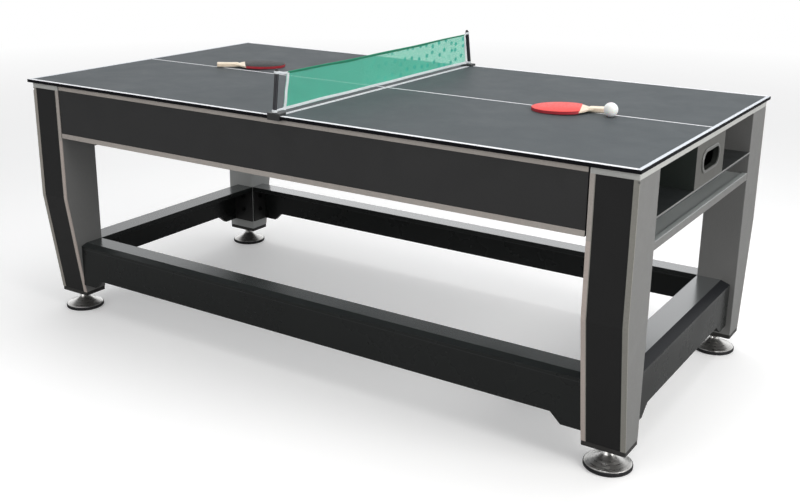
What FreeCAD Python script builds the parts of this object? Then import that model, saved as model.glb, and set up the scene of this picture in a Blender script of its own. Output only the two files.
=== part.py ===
import FreeCAD, Part
import math
import os

os.makedirs("parts", exist_ok=True)

# Multi-game table: a cabinet with pool above and glide hockey below turns over between two
# end units, under a lift-off tennis top.  Millimetres, +X along the length, +Y to the rear,
# +Z up, origin on the floor under the middle of the table.
# Most pieces are drawn in the +X +Y quarter and mirrored.  Cutters overshoot what they cut.

# ---- dimensions shared between sections ----
# Pairs are (lower, upper) limits; X0/X1 and Z0/Z1 are the same thing on single names.
TOP_Z0, TOP_Z1 = 803.0, 813.0          # tennis top
TOP_HALF_WID = 553.0

LEG_X0, LEG_X1 = 918.0, 1038.0
LEG_Z0, LEG_Z1 = 72.0, 785.0
LEG_YI = 402.0                         # inner face
LEG_YO = 538.0                         # outer face above the knee
LEG_YB = 486.0                         # outer face at the foot
TRIM_T = 3.0                           # thickness of the leg trims

CAB_X, CAB_Y = 914.0, 538.0            # half sizes of the turning cabinet
CAB_Z0, CAB_Z1 = 629.0, 800.0
AXIS_Z = (CAB_Z0 + CAB_Z1) / 2.0
AXLE_R = 12.5
RUN = 0.05                             # radial running clearance

BOLT_R = 4.0
BOLT_HOLE_R = BOLT_R + 0.2
BOLT_ZS = (150.0, 205.0)
LONG_BOLT_Y, END_BOLT_X = 441.0, 960.0

QUARTERS = {"front_left": (-1, -1), "front_right": (1, -1),
            "rear_left": (-1, 1), "rear_right": (1, 1)}
ENDS = {"left": -1, "right": 1}

Vec = FreeCAD.Vector
X_AXIS, Y_AXIS, Z_AXIS = Vec(1, 0, 0), Vec(0, 1, 0), Vec(0, 0, 1)
ORIGIN = Vec(0, 0, 0)


# ---- helpers ----
def box(x0, y0, z0, x1, y1, z1):
    """Box between two opposite corners."""
    return Part.makeBox(x1 - x0, y1 - y0, z1 - z0, Vec(x0, y0, z0))


def cylinder(radius, length, x, y, z, axis=Z_AXIS):
    return Part.makeCylinder(radius, length, Vec(x, y, z), axis)


def face(points):
    return Part.Face(Part.makePolygon([Vec(*p) for p in points + points[:1]]))


def prism_x(yz, x0, x1):
    return face([(x0, y, z) for y, z in yz]).extrude(Vec(x1 - x0, 0, 0))


def prism_y(xz, y0, y1):
    return face([(x, y0, z) for x, z in xz]).extrude(Vec(0, y1 - y0, 0))


def prism_z(xy, z0, z1):
    return face([(x, y, z0) for x, y in xy]).extrude(Vec(0, 0, z1 - z0))


def lathe(profile, x, y):
    """Solid of revolution about a vertical axis from (radius, z) points."""
    return face([(x + r, y, z) for r, z in profile]).revolve(Vec(x, y, 0), Z_AXIS, 360)


def place(shape, sign_x, sign_y):
    """Mirror a shape made in the +X +Y quarter to another quarter."""
    placed = shape.copy()
    if sign_x < 0:
        placed = placed.mirror(ORIGIN, X_AXIS)
    if sign_y < 0:
        placed = placed.mirror(ORIGIN, Y_AXIS)
    return placed


def both_ends(shape):
    return [shape, place(shape, -1, 1)]


def front_and_rear(shape):
    return [shape, place(shape, 1, -1)]


def runs(axis, a, b):
    """True when an edge from a to b is parallel to the axis and over 1 mm long."""
    i = "xyz".index(axis)
    straight = all(abs(a[k] - b[k]) < 1e-6 for k in range(3) if k != i)
    return straight and abs(a[i] - b[i]) > 1.0


def upright(a, b):
    return runs("z", a, b)


def soften(shape, size, test):
    """Chamfer the edges whose end points pass the test."""
    edges = [e for e in shape.Edges if test(e.Vertexes[0].Point, e.Vertexes[-1].Point)]
    if not edges:
        return shape
    # Guards against a chamfer the kernel refuses: the piece then keeps its sharp edges.
    try:
        softened = shape.makeChamfer(size, edges)
        if softened.isValid() and softened.Volume > 0.5 * shape.Volume:
            return softened
    except Exception:
        pass
    return shape


def save(node, *shapes):
    solids = [solid for shape in shapes for solid in shape.Solids]
    whole = solids[0] if len(solids) == 1 else Part.makeCompound(solids)
    whole.exportStep("parts/%s.step" % node)


# ---- legs: hollow board boxes with a sloped lower outer face ----
KNEE_Z = 420.0
LEG_WALL = 16.0
TRIM_W = 14.0                          # width of the corner trims
INLAY_T = 2.2
CAP_Z0 = 59.0
BOARD_YO, BOARD_YB = LEG_YO - TRIM_T, LEG_YB - TRIM_T   # leg faces under the trims

FOOT_X, FOOT_Y = 979.0, (LEG_YI + LEG_YB) / 2.0
STUD_R = 7.0


def drill_long(shape, lead):
    """Bolt holes along X, starting a lead short of the leg."""
    for z in BOLT_ZS:
        shape = shape.cut(cylinder(BOLT_HOLE_R, 30, LEG_X0 - lead, LONG_BOLT_Y, z, X_AXIS))
    return shape


def drill_end(shape, lead):
    """Bolt holes along Y, starting a lead short of the leg."""
    for z in BOLT_ZS:
        shape = shape.cut(cylinder(BOLT_HOLE_R, 30, END_BOLT_X, LEG_YI - lead, z, Y_AXIS))
    return shape


def make_leg():
    outside = [(LEG_YI, LEG_Z0), (BOARD_YB, LEG_Z0), (BOARD_YO, KNEE_Z),
               (BOARD_YO, LEG_Z1), (LEG_YI, LEG_Z1)]
    wall = LEG_WALL
    inside = [(LEG_YI + wall, LEG_Z0 - 1), (BOARD_YB - wall, LEG_Z0 - 1),
              (BOARD_YO - wall, KNEE_Z + 1), (BOARD_YO - wall, LEG_Z1 + 1),
              (LEG_YI + wall, LEG_Z1 + 1)]
    leg = prism_x(outside, LEG_X0, LEG_X1)
    leg = soften(leg, 1.2, lambda a, b: upright(a, b) and abs(a.y - LEG_YI) < 1
                 and a.x > LEG_X1 - 1)
    leg = leg.cut(prism_x(inside, LEG_X0 + wall, LEG_X1 - wall))
    return drill_end(drill_long(leg, 10), 10)


def leg_strip(x0, x1, thickness, z_top):
    """Strip that follows the outer Y face of the leg."""
    return prism_x([(BOARD_YB, LEG_Z0), (BOARD_YB + thickness, LEG_Z0),
                    (BOARD_YO + thickness, KNEE_Z), (BOARD_YO + thickness, z_top),
                    (BOARD_YO, z_top), (BOARD_YO, KNEE_Z)], x0, x1)


def make_outer_trim():
    """Trim on the outer X corner, with a notch near its top."""
    trim = leg_strip(LEG_X1 - TRIM_W, LEG_X1, TRIM_T, LEG_Z1)
    return trim.cut(box(LEG_X1 - 5, BOARD_YO - 1, LEG_Z1 - 9, LEG_X1 + 1, LEG_YO + 1, LEG_Z1 - 3))


def make_end_cap():
    """Moulded cap with a plug that carries the foot stud."""
    cap = box(LEG_X0, LEG_YI, CAP_Z0, LEG_X1, LEG_YB, LEG_Z0)
    cap = soften(cap, 2.5, upright)
    cap = soften(cap, 1.0, lambda a, b: abs(a.z - CAP_Z0) < 1e-6 and abs(b.z - CAP_Z0) < 1e-6)
    plug = box(LEG_X0 + 22, 420.0, LEG_Z0, LEG_X1 - 22, 464.5, 112.0)
    return cap.fuse(plug).cut(cylinder(STUD_R + RUN, 80, FOOT_X, FOOT_Y, 50))


leg = make_leg()
inlay = leg_strip(LEG_X0 + TRIM_W, LEG_X1 - TRIM_W, INLAY_T, LEG_Z1 - 1.0)
inner_trim = leg_strip(LEG_X0, LEG_X0 + TRIM_W, TRIM_T, LEG_Z1)
outer_trim = make_outer_trim()
end_cap = make_end_cap()
for name, signs in QUARTERS.items():
    save("leg_" + name, place(leg, *signs))
save("leg_inlays", *[place(inlay, *signs) for signs in QUARTERS.values()])
save("leg_trims", *[place(trim, *signs) for signs in QUARTERS.values()
                    for trim in (inner_trim, outer_trim)])
save("leg_end_caps", *[place(end_cap, *signs) for signs in QUARTERS.values()])

# ---- levelling feet: turned disc and stud, nut, and a pad under them ----
PAD_R = 64.0
NUT_R = 14.0                           # across corners
# (radius, z)
FOOT_PROFILE = [
    (0, 9.5), (60.0, 9.5), (61.5, 10.5), (61.5, 12.5), (59.0, 14.0), (48.0, 18.0),
    (36.0, 23.5), (26.0, 29.5), (19.0, 36.0), (16.0, 40.0), (15.0, 43.5), (13.5, 45.0),
    (STUD_R, 45.0), (STUD_R, 109.0), (STUD_R - 1.5, 110.5), (0, 110.5)]
PAD_PROFILE = [
    (0, 0), (61.5, 0), (PAD_R, 2.0), (PAD_R, 9.0), (63.2, 11.5), (62.0, 11.5),
    (62.0, 9.3), (0, 9.3)]


def make_nut():
    corners = [(FOOT_X + NUT_R * math.cos(math.radians(angle)),
                FOOT_Y + NUT_R * math.sin(math.radians(angle))) for angle in range(0, 360, 60)]
    return prism_z(corners, 47.5, 56.5).cut(cylinder(STUD_R + 0.02, 20, FOOT_X, FOOT_Y, 45))


foot = lathe(FOOT_PROFILE, FOOT_X, FOOT_Y)
nut = make_nut()
pad = lathe(PAD_PROFILE, FOOT_X, FOOT_Y)
for name, signs in QUARTERS.items():
    save("foot_" + name, place(foot, *signs), place(nut, *signs))
    save("foot_pad_" + name, place(pad, *signs))

# ---- end units between each pair of legs ----
UPPER_SHELF_Z = (657.5, 665.5)
LOWER_SHELF_Z = (583.0, 598.0)
LIP_X = (1022.0, 1037.0)               # lip on the outer edge of the lower shelf
LIP_Z = (578.0, 601.0)
INNER_PANEL_X1 = LEG_X0 + 15.0
BUSH_R = 18.0
PIVOT_BOX_HALF_W = 122.0
PIVOT_BOX_T = 12.0                     # thickness of its boards
PIVOT_FRONT_X = (1025.5, 1025.5 + PIVOT_BOX_T)
HOLE_Z = 729.5                         # hand hole
HOLE_LEN, HOLE_H = 137.0, 51.0
RIM_T = 3.5                            # rim flange proud of the front panel


def outer_shelf_edge(a, b):
    return runs("y", a, b) and a.x > 1030


def make_inner_panel():
    panel = box(LEG_X0, -LEG_YI, LIP_Z[0], INNER_PANEL_X1, LEG_YI, LEG_Z1)
    return panel.cut(cylinder(BUSH_R, 40, LEG_X0 - 5, 0, AXIS_Z, X_AXIS))


def make_bush():
    """Flanged bush pressed into the inner panel."""
    length = INNER_PANEL_X1 - LEG_X0 + 6.0
    bush = cylinder(BUSH_R, length, LEG_X0 + 0.5, 0, AXIS_Z, X_AXIS)
    bush = bush.fuse(cylinder(26.0, 4.0, INNER_PANEL_X1, 0, AXIS_Z, X_AXIS))
    return bush.cut(cylinder(AXLE_R + RUN, 60, LEG_X0 - 10, 0, AXIS_Z, X_AXIS))


def stadium(growth_len, growth_h, x0, x1):
    """Oval block on the hand hole, grown from its length and height."""
    radius = (HOLE_H + growth_h) / 2.0
    half = (HOLE_LEN + growth_len) / 2.0 - radius
    block = box(x0, -half, HOLE_Z - radius, x1, half, HOLE_Z + radius)
    for y in (-half, half):
        block = block.fuse(cylinder(radius, x1 - x0, x0, y, HOLE_Z, X_AXIS))
    return block.removeSplitter()


def make_pivot_box():
    """Panel on the outer side with an oval hand hole, and two side boards."""
    x0, x1 = PIVOT_FRONT_X
    z0, half = UPPER_SHELF_Z[1], PIVOT_BOX_HALF_W
    panel = box(x0, -half, z0, x1, half, LEG_Z1)
    panel = panel.cut(stadium(4, 4, x0 - 1, x1 + 1))
    side = box(INNER_PANEL_X1, half - PIVOT_BOX_T, z0, x0, half, LEG_Z1)
    return [panel] + front_and_rear(side)


def make_rim():
    """Moulded rim that lines the hand hole."""
    x0, x1 = PIVOT_FRONT_X
    face_x = x1 + RIM_T - 0.1
    rim = stadium(16, 15, x1, x1 + RIM_T)
    rim = soften(rim, 1.6, lambda a, b: a.x > face_x and b.x > face_x)
    rim = rim.fuse(stadium(4, 4, x0 - 2, x1 + 1))
    return rim.cut(stadium(-1, -1, x0 - 5, x1 + 6))


unit_top = soften(box(LEG_X0, -LEG_YO, LEG_Z1, LEG_X1, LEG_YO, TOP_Z0), 1.0, upright)
upper_shelf = box(INNER_PANEL_X1, -LEG_YI, UPPER_SHELF_Z[0], LEG_X1, LEG_YI, UPPER_SHELF_Z[1])
upper_shelf = soften(upper_shelf, 1.0, outer_shelf_edge)
lower_shelf = box(INNER_PANEL_X1, -LEG_YI, LOWER_SHELF_Z[0], LIP_X[0], LEG_YI, LOWER_SHELF_Z[1])
lip = box(LIP_X[0], -LEG_YI, LIP_Z[0], LIP_X[1], LEG_YI, LIP_Z[1])
lip = soften(lip, 1.5, outer_shelf_edge)
pivot_box = make_pivot_box()
for name, sign_x in ENDS.items():
    save("end_unit_top_" + name, place(unit_top, sign_x, 1))
    save("pivot_box_" + name, *[place(board, sign_x, 1) for board in pivot_box])
for name, shapes in (("upper_shelves", [upper_shelf]), ("lower_shelves", [lower_shelf, lip]),
                     ("hand_hole_rims", [make_rim()]), ("inner_panels", [make_inner_panel()]),
                     ("pivot_bushes", [make_bush()])):
    save(name, *[place(shape, sign_x, 1) for sign_x in ENDS.values() for shape in shapes])

# ---- stretchers: top board with a bevelled edge over a fascia that deepens near the legs ----
STR_X, STR_Y = 1022.0, 492.0           # outer faces of the end and long stretchers
STR_Z1 = 250.0
STR_Z0 = STR_Z1 - 17.0                 # underside of the top board
FASCIA_T = 15.0
FASCIA_Z_MID, FASCIA_Z_END = 131.0, 102.0
BRACKET_T = 6.0


def fascia_outline(half_len, deep_from, shallow_to):
    """(along, z) outline; it deepens between shallow_to and deep_from."""
    return [(-half_len, STR_Z0), (-half_len, FASCIA_Z_END), (-deep_from, FASCIA_Z_END),
            (-shallow_to, FASCIA_Z_MID), (shallow_to, FASCIA_Z_MID),
            (deep_from, FASCIA_Z_END), (half_len, FASCIA_Z_END), (half_len, STR_Z0)]


def make_long_stretcher():
    board = prism_x([(405, STR_Z0), (STR_Y, STR_Z0), (STR_Y, 242), (469, STR_Z1),
                     (405, STR_Z1)], -LEG_X0, LEG_X0)
    return [board, prism_y(fascia_outline(LEG_X0, 862, 832), STR_Y - FASCIA_T, STR_Y)]


def make_end_stretcher():
    board = prism_y([(LEG_X0, STR_Z0), (STR_X, STR_Z0), (STR_X, 239), (993, STR_Z1),
                     (LEG_X0, STR_Z1)], -LEG_YI, LEG_YI)
    return [board, prism_x(fascia_outline(LEG_YI, 337, 300), STR_X - FASCIA_T, STR_X)]


def make_brackets():
    """Plates on the leg that close the stretcher ends and take the bolts."""
    z0 = FASCIA_Z_END + 1
    long_plate = box(LEG_X0 - BRACKET_T, 406, z0, LEG_X0, STR_Y - FASCIA_T, STR_Z0)
    end_plate = box(LEG_X0, LEG_YI - BRACKET_T, z0, STR_X - FASCIA_T, LEG_YI, STR_Z0)
    return [drill_long(long_plate, 20), drill_end(end_plate, 20)]


def make_bolt(x, y, z, axis):
    """Round-headed bolt with a washer; the point is under the washer, axis into the leg."""
    seat = Vec(x, y, z)
    shank = Part.makeCylinder(BOLT_R, 24, seat, axis)
    washer = Part.makeCylinder(9.0, 1.6, seat, axis * -1)
    head = Part.makeCylinder(6.5, 5.5, seat + axis * -1.6, axis * -1)
    return shank.fuse(washer).fuse(head)


long_stretcher = make_long_stretcher()
end_stretcher = make_end_stretcher()
brackets = make_brackets()
bolts = [make_bolt(LEG_X0 - BRACKET_T, LONG_BOLT_Y, z, X_AXIS) for z in BOLT_ZS]
bolts += [make_bolt(END_BOLT_X, LEG_YI - BRACKET_T, z, Y_AXIS) for z in BOLT_ZS]
save("stretcher_front", *[place(board, 1, -1) for board in long_stretcher])
save("stretcher_rear", *long_stretcher)
save("stretcher_left", *[place(board, -1, 1) for board in end_stretcher])
save("stretcher_right", *end_stretcher)
save("stretcher_brackets", *[place(s, *signs) for signs in QUARTERS.values() for s in brackets])
save("stretcher_bolts", *[place(s, *signs) for signs in QUARTERS.values() for s in bolts])

# ---- turning cabinet: four boards with trims over their edges ----
CAB_WALL = 18.0
SKIN = 1.5                             # trims stand proud of the boards
TRIM_LOW, TRIM_HIGH = 15.0, 13.0       # visible heights of the trims
PANEL_Y = CAB_Y - SKIN                 # outer face of the long boards
BOARD_Z0, BOARD_Z1 = CAB_Z0 + SKIN, CAB_Z1 - SKIN
IN_X, IN_Y = CAB_X - CAB_WALL, PANEL_Y - CAB_WALL   # inner faces of the boards


def cabinet_trim(edge_z, lap_z, board_z):
    """Long trim from the cabinet edge to the end of its lap over the board."""
    return prism_x([(IN_Y, edge_z), (CAB_Y, edge_z), (CAB_Y, lap_z), (PANEL_Y, lap_z),
                    (PANEL_Y, board_z), (IN_Y, board_z)], -CAB_X, CAB_X)


cab_side = box(-CAB_X, IN_Y, BOARD_Z0, CAB_X, PANEL_Y, BOARD_Z1)
cab_end = box(IN_X, -IN_Y, BOARD_Z0, CAB_X, IN_Y, BOARD_Z1)
long_trims = [cabinet_trim(CAB_Z0, CAB_Z0 + TRIM_LOW, BOARD_Z0),
              cabinet_trim(CAB_Z1, CAB_Z1 - TRIM_HIGH, BOARD_Z1)]
end_trims = [box(IN_X, -IN_Y, CAB_Z0, CAB_X, IN_Y, BOARD_Z0),
             box(IN_X, -IN_Y, BOARD_Z1, CAB_X, IN_Y, CAB_Z1)]
save("cabinet_side_front", place(cab_side, 1, -1))
save("cabinet_side_rear", cab_side)
save("cabinet_end_left", place(cab_end, -1, 1))
save("cabinet_end_right", cab_end)
save("cabinet_trims", *long_trims, *[place(s, 1, -1) for s in long_trims],
     *end_trims, *[place(s, -1, 1) for s in end_trims])

# ---- pool side of the cabinet (faces up) ----
BED_Z0, BED_Z1 = 742.0, 757.0
CLOTH_Z = BED_Z1 + 1.0                 # cloth surface
RAIL_W = 50.0
RAIL_TOP = 798.0
RAIL_X, RAIL_Y = IN_X - RAIL_W, IN_Y - RAIL_W   # inner faces of the wooden rails
CUSHION_W = 30.0
POCKET_X, POCKET_R = 752.0, 45.0
POST_HOLE_R = 4.1
CROSS = (-150, -80, 80, 150)           # bumper places on both arms of the centre cross
BUMPERS = [(x, 0) for x in CROSS] + [(0, y) for y in CROSS]
BUMPERS += [(sx * POCKET_X, sy * 92) for sx in (-1, 1) for sy in (-1, 1)]
# (radius, z)
CUP_PROFILE = [
    (0, 682), (POCKET_R - 2, 682), (POCKET_R, 684), (POCKET_R, BED_Z1),
    (POCKET_R + 5, BED_Z1), (POCKET_R + 5, CLOTH_Z + 0.8), (POCKET_R + 4, CLOTH_Z + 1.6),
    (POCKET_R - 2, CLOTH_Z + 1.6), (POCKET_R - 3.5, CLOTH_Z), (POCKET_R - 3.5, 685.5),
    (0, 685.5)]
POST_PROFILE = [
    (0, 740.0), (8.0, 740.0), (8.0, BED_Z0), (4.0, BED_Z0), (4.0, CLOTH_Z), (7.0, CLOTH_Z),
    (7.0, 786.0), (17.0, 786.0), (17.0, 789.0), (14.0, 792.0), (0, 792.0)]
RING_PROFILE = [
    (7.1, 765.0), (21.0, 764.0), (24.0, 766.5), (25.0, 770.0), (25.0, 779.0),
    (24.0, 782.5), (21.0, 785.0), (7.1, 785.0)]


def pierce(sheet, pocket_radius):
    """Cut the pocket and bumper post holes."""
    for x in (-POCKET_X, POCKET_X):
        sheet = sheet.cut(cylinder(pocket_radius, 40, x, 0, BED_Z0 - 5))
    for x, y in BUMPERS:
        sheet = sheet.cut(cylinder(POST_HOLE_R, 40, x, y, BED_Z0 - 5))
    return sheet


def make_pool_rails():
    long_rail = box(-IN_X, RAIL_Y, BED_Z1, IN_X, IN_Y, RAIL_TOP)
    long_rail = soften(long_rail, 2.0, lambda a, b: runs("x", a, b) and a.z > RAIL_TOP - 1
                       and a.y < RAIL_Y + 1)
    end_rail = box(RAIL_X, -RAIL_Y, BED_Z1, IN_X, RAIL_Y, RAIL_TOP)
    end_rail = soften(end_rail, 2.0, lambda a, b: runs("y", a, b) and a.z > RAIL_TOP - 1
                      and a.x < RAIL_X + 1)
    return [rail for sign in (-1, 1)
            for rail in (place(long_rail, 1, sign), place(end_rail, sign, 1))]


def cushion(half_run, rail_face, axis):
    """Cushion strip along the axis with mitred ends."""
    nose = rail_face - CUSHION_W
    # (distance across, height above the cloth)
    section = [(rail_face, 39.0), (nose + 2.0, 35.0), (nose, 33.5),
               (nose, 31.0), (nose + 2.0, 29.5), (rail_face, 8.0)]
    section = [(across, CLOTH_Z + height) for across, height in section]
    prism = prism_x if axis == "x" else prism_y
    strip = prism(section, -half_run, half_run)
    for sign in (-1, 1):
        mitre = [(sign * (half_run + 1), rail_face + 1), (sign * (half_run + 1), nose - 2),
                 (sign * (half_run - CUSHION_W - 2), nose - 2)]
        if axis == "y":
            mitre = [(across, run) for run, across in mitre]
        strip = strip.cut(prism_z(mitre, CLOTH_Z, CLOTH_Z + 60))
    return strip


def at_bumpers(profile):
    turned = lathe(profile, 0, 0)
    copies = []
    for x, y in BUMPERS:
        copy = turned.copy()
        copy.translate(Vec(x, y, 0))
        copies.append(copy)
    return copies


cloth = box(-RAIL_X + 0.1, -RAIL_Y + 0.1, BED_Z1, RAIL_X - 0.1, RAIL_Y - 0.1, CLOTH_Z)
save("pool_bed", pierce(box(-IN_X, -IN_Y, BED_Z0, IN_X, IN_Y, BED_Z1), POCKET_R + 0.1))
save("pool_cloth", pierce(cloth, POCKET_R + 5.5))
save("pool_rails", *make_pool_rails())
save("pool_cushions", *front_and_rear(cushion(RAIL_X - 0.6, RAIL_Y, "x")),
     *both_ends(cushion(RAIL_Y - 0.6, RAIL_X, "y")))
save("pocket_cups", *both_ends(lathe(CUP_PROFILE, POCKET_X, 0)))
save("bumper_posts", *at_bumpers(POST_PROFILE))
save("bumper_rings", *at_bumpers(RING_PROFILE))

# ---- glide hockey side of the cabinet (faces down) ----
ICE_Z0, ICE_Z1 = 661.0, 667.0          # hockey bed
ICE_RAIL_Z = CAB_Z0 + 3.0              # free edge of the rails
ICE_X, ICE_Y = IN_X - 70.0, IN_Y - 34.0   # inner faces of the rails
GOAL_HALF_W, GOAL_H = 150.0, 18.0
GOAL_X0, GOAL_X1 = ICE_X + 8, IN_X - 4    # hollow behind the goal mouth
GOAL_Z0 = ICE_RAIL_Z + 3
TRAY_GAP = 0.2
TRAY_IN = TRAY_GAP + 2.0               # inside of the tray, from the walls of the hollow


def make_hockey_rails():
    """Long rails, and end rails with the goal mouths cut through them."""
    long_rail = box(-IN_X, ICE_Y, ICE_RAIL_Z, IN_X, IN_Y, ICE_Z0)
    long_rail = soften(long_rail, 3.0, lambda a, b: runs("x", a, b) and a.z < ICE_RAIL_Z + 1
                       and a.y < ICE_Y + 1)
    end_rail = box(ICE_X, -ICE_Y, ICE_RAIL_Z, IN_X, ICE_Y, ICE_Z0)
    end_rail = end_rail.cut(box(ICE_X - 1, -GOAL_HALF_W, ICE_Z0 - GOAL_H,
                                GOAL_X0, GOAL_HALF_W, ICE_Z0 + 1))
    end_rail = end_rail.cut(box(GOAL_X0, -GOAL_HALF_W, GOAL_Z0,
                                GOAL_X1, GOAL_HALF_W, ICE_Z0 + 1))
    return front_and_rear(long_rail) + both_ends(end_rail)


def make_goal_tray():
    """Tray open at the top and towards the middle of the table."""
    half = GOAL_HALF_W
    tray = box(GOAL_X0 + TRAY_GAP, -half + TRAY_GAP, GOAL_Z0 + TRAY_GAP,
               GOAL_X1 - TRAY_GAP, half - TRAY_GAP, ICE_Z0 - TRAY_GAP)
    return tray.cut(box(GOAL_X0 - 2, -half + TRAY_IN, GOAL_Z0 + TRAY_IN,
                        GOAL_X1 - TRAY_IN, half - TRAY_IN, ICE_Z0 + 1))


save("hockey_bed", box(-IN_X, -IN_Y, ICE_Z0, IN_X, IN_Y, ICE_Z1))
save("hockey_rails", *make_hockey_rails())
save("goal_trays", *both_ends(make_goal_tray()))

# ---- blower in the space between the two beds ----
BLOWER_X = -350.0
BLOWER_R, BLOWER_IN_R = 80.0, 76.5
BLOWER_H = 56.0
BLOWER_FLOOR = ICE_Z1 + 3.0            # inside floor of the housing
BLOWER_ROOF = ICE_Z1 + BLOWER_H - 3.0
MOTOR_SHAFT_R = 3.0
IMPELLER_Z = ICE_Z1 + 25.0
BLADES = 16
BLADE_R0, BLADE_R1 = 46.0, 61.5
BLADE_HALF_T = 0.8


def make_blower_housing():
    """Drum with a straight outlet towards +X and a round opening in the roof."""
    outside = cylinder(BLOWER_R, BLOWER_H, BLOWER_X, 0, ICE_Z1)
    outside = outside.fuse(box(BLOWER_X, -BLOWER_R, ICE_Z1,
                               BLOWER_X + 120.0, -10.0, ICE_Z1 + BLOWER_H))
    inside = cylinder(BLOWER_IN_R, BLOWER_ROOF - BLOWER_FLOOR, BLOWER_X, 0, BLOWER_FLOOR)
    inside = inside.fuse(box(BLOWER_X, -BLOWER_IN_R, BLOWER_FLOOR,
                             BLOWER_X + 121.0, -14.0, BLOWER_ROOF))
    return outside.cut(inside).cut(cylinder(38.0, 20, BLOWER_X, 0, ICE_Z1 + 45.0))


def make_motor():
    motor = cylinder(24.0, 20.0, BLOWER_X, 0, BLOWER_FLOOR)
    return motor.fuse(cylinder(MOTOR_SHAFT_R, 46.0, BLOWER_X, 0, BLOWER_FLOOR))


def make_impeller():
    impeller = cylinder(62.0, 2.0, BLOWER_X, 0, IMPELLER_Z)
    impeller = impeller.fuse(cylinder(10.0, 22.0, BLOWER_X, 0, IMPELLER_Z))
    for k in range(BLADES):
        blade = box(BLADE_R0, -BLADE_HALF_T, 0, BLADE_R1, BLADE_HALF_T, 22.0)
        blade.rotate(Vec(BLADE_R0, 0, 0), Z_AXIS, 35)
        blade.rotate(ORIGIN, Z_AXIS, k * 360.0 / BLADES)
        blade.translate(Vec(BLOWER_X, 0, IMPELLER_Z + 1.0))
        impeller = impeller.fuse(blade)
    return impeller.cut(cylinder(MOTOR_SHAFT_R + RUN, 60, BLOWER_X, 0, ICE_Z1))


save("blower_housing", make_blower_housing(), make_motor())
save("blower_impeller", make_impeller())

# ---- pivots and their lock knobs ----
AXLE_LEN = 66.0
KNOB_X = CAB_X + 30.0
GRIP_X = KNOB_X + 12.0                 # lobed part of the knob
GRIP_R, GRIP_W = 27.0, 16.0


def make_axle():
    axle = cylinder(46.0, 3.0, CAB_X, 0, AXIS_Z, X_AXIS)
    axle = axle.fuse(cylinder(AXLE_R, AXLE_LEN, CAB_X, 0, AXIS_Z, X_AXIS))
    tip_x = CAB_X + AXLE_LEN - 0.5
    return soften(axle, 1.5, lambda a, b: a.x > tip_x and b.x > tip_x)


def make_knob():
    knob = cylinder(20.0, 34.0, KNOB_X, 0, AXIS_Z, X_AXIS)
    knob = knob.fuse(cylinder(GRIP_R, GRIP_W, GRIP_X, 0, AXIS_Z, X_AXIS))
    for k in range(6):
        angle = math.radians(60 * k)
        knob = knob.fuse(cylinder(8.0, GRIP_W, GRIP_X, GRIP_R * math.cos(angle),
                                  AXIS_Z + GRIP_R * math.sin(angle), X_AXIS))
    return knob.cut(cylinder(AXLE_R + RUN, 80, KNOB_X - 10, 0, AXIS_Z, X_AXIS))


save("pivot_axles", *both_ends(make_axle()))
knob = make_knob()
for name, sign_x in ENDS.items():
    save("lock_knob_" + name, place(knob, sign_x, 1))

# ---- tennis top: two boards that meet at the middle ----
TOP_HALF_LEN = 1045.0
SEAM = 0.5                             # half gap between the boards

top_board = box(SEAM, -TOP_HALF_WID, TOP_Z0, TOP_HALF_LEN, TOP_HALF_WID, TOP_Z1)
top_board = soften(top_board, 0.8, lambda a, b: min(a.z, b.z) > TOP_Z1 - 0.1
                   or max(a.z, b.z) < TOP_Z0 + 0.1)
for name, sign_x in ENDS.items():
    save("tennis_top_" + name, place(top_board, sign_x, 1))

# ---- net, and round posts on clips that slide over the edge of the top ----
NET_X = -7.0
NET_Z0, NET_Z1 = TOP_Z1 + 8.0, TOP_Z1 + 114.5
POST_Y, POST_R = 550.0, 6.3
POST_Z0, POST_Z1 = TOP_Z1 + 5.0, TOP_Z1 + 122.0
CLIP_X0, CLIP_X1 = NET_X - 21.0, NET_X + 21.0
CLIP_YO = TOP_HALF_WID + 4.0
CLIP_Z0, CLIP_Z1 = 800.6, TOP_Z1 + 7.0


def make_net_post(lean):
    """Clip and post; the top of the post leans inwards by lean."""
    base = Vec(NET_X, POST_Y, POST_Z0)
    rise = Vec(0, -lean, POST_Z1 - POST_Z0)
    post = Part.makeCylinder(POST_R, rise.Length, base, rise)
    post = post.fuse(Part.makeCone(POST_R, 4.0, 2.0, base + rise, rise))
    tip = base + rise + rise * (2.0 / rise.Length)
    post = post.fuse(Part.makeCylinder(4.0, 3.0, tip, rise))
    upper = box(CLIP_X0, 526.0, TOP_Z1 + 0.1, CLIP_X1, CLIP_YO, CLIP_Z1)
    back = box(CLIP_X0, TOP_HALF_WID + 0.2, CLIP_Z0, CLIP_X1, CLIP_YO, CLIP_Z1)
    lower = box(CLIP_X0, 541.0, CLIP_Z0, CLIP_X1, CLIP_YO, TOP_Z0 - 0.1)
    clip = upper.fuse(back).fuse(lower).removeSplitter()
    # the post ends inside the upper jaw of the clip
    post = post.cut(box(-60, 400, TOP_Z1 - 10, 60, 700, TOP_Z1 + 6.0))
    return clip.fuse(post).removeSplitter()


# the ends of the net slope inwards like the posts
save("net", prism_x([(-513.0, NET_Z0), (531.0, NET_Z0), (515.0, NET_Z1), (-494.0, NET_Z1)],
                    NET_X - 1.0, NET_X + 1.0))
save("net_post_front", place(make_net_post(14.0), 1, -1))
save("net_post_rear", make_net_post(24.0))

# ---- paddles lying on the top ----
HANDLE = 8.0                           # half thickness of the handle
CORE, SHEET = 2.6, 4.4                 # half thickness of the bare and the covered blade
RUBBER_END = 140.0                     # the rubber stops here, short of the throat
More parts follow.
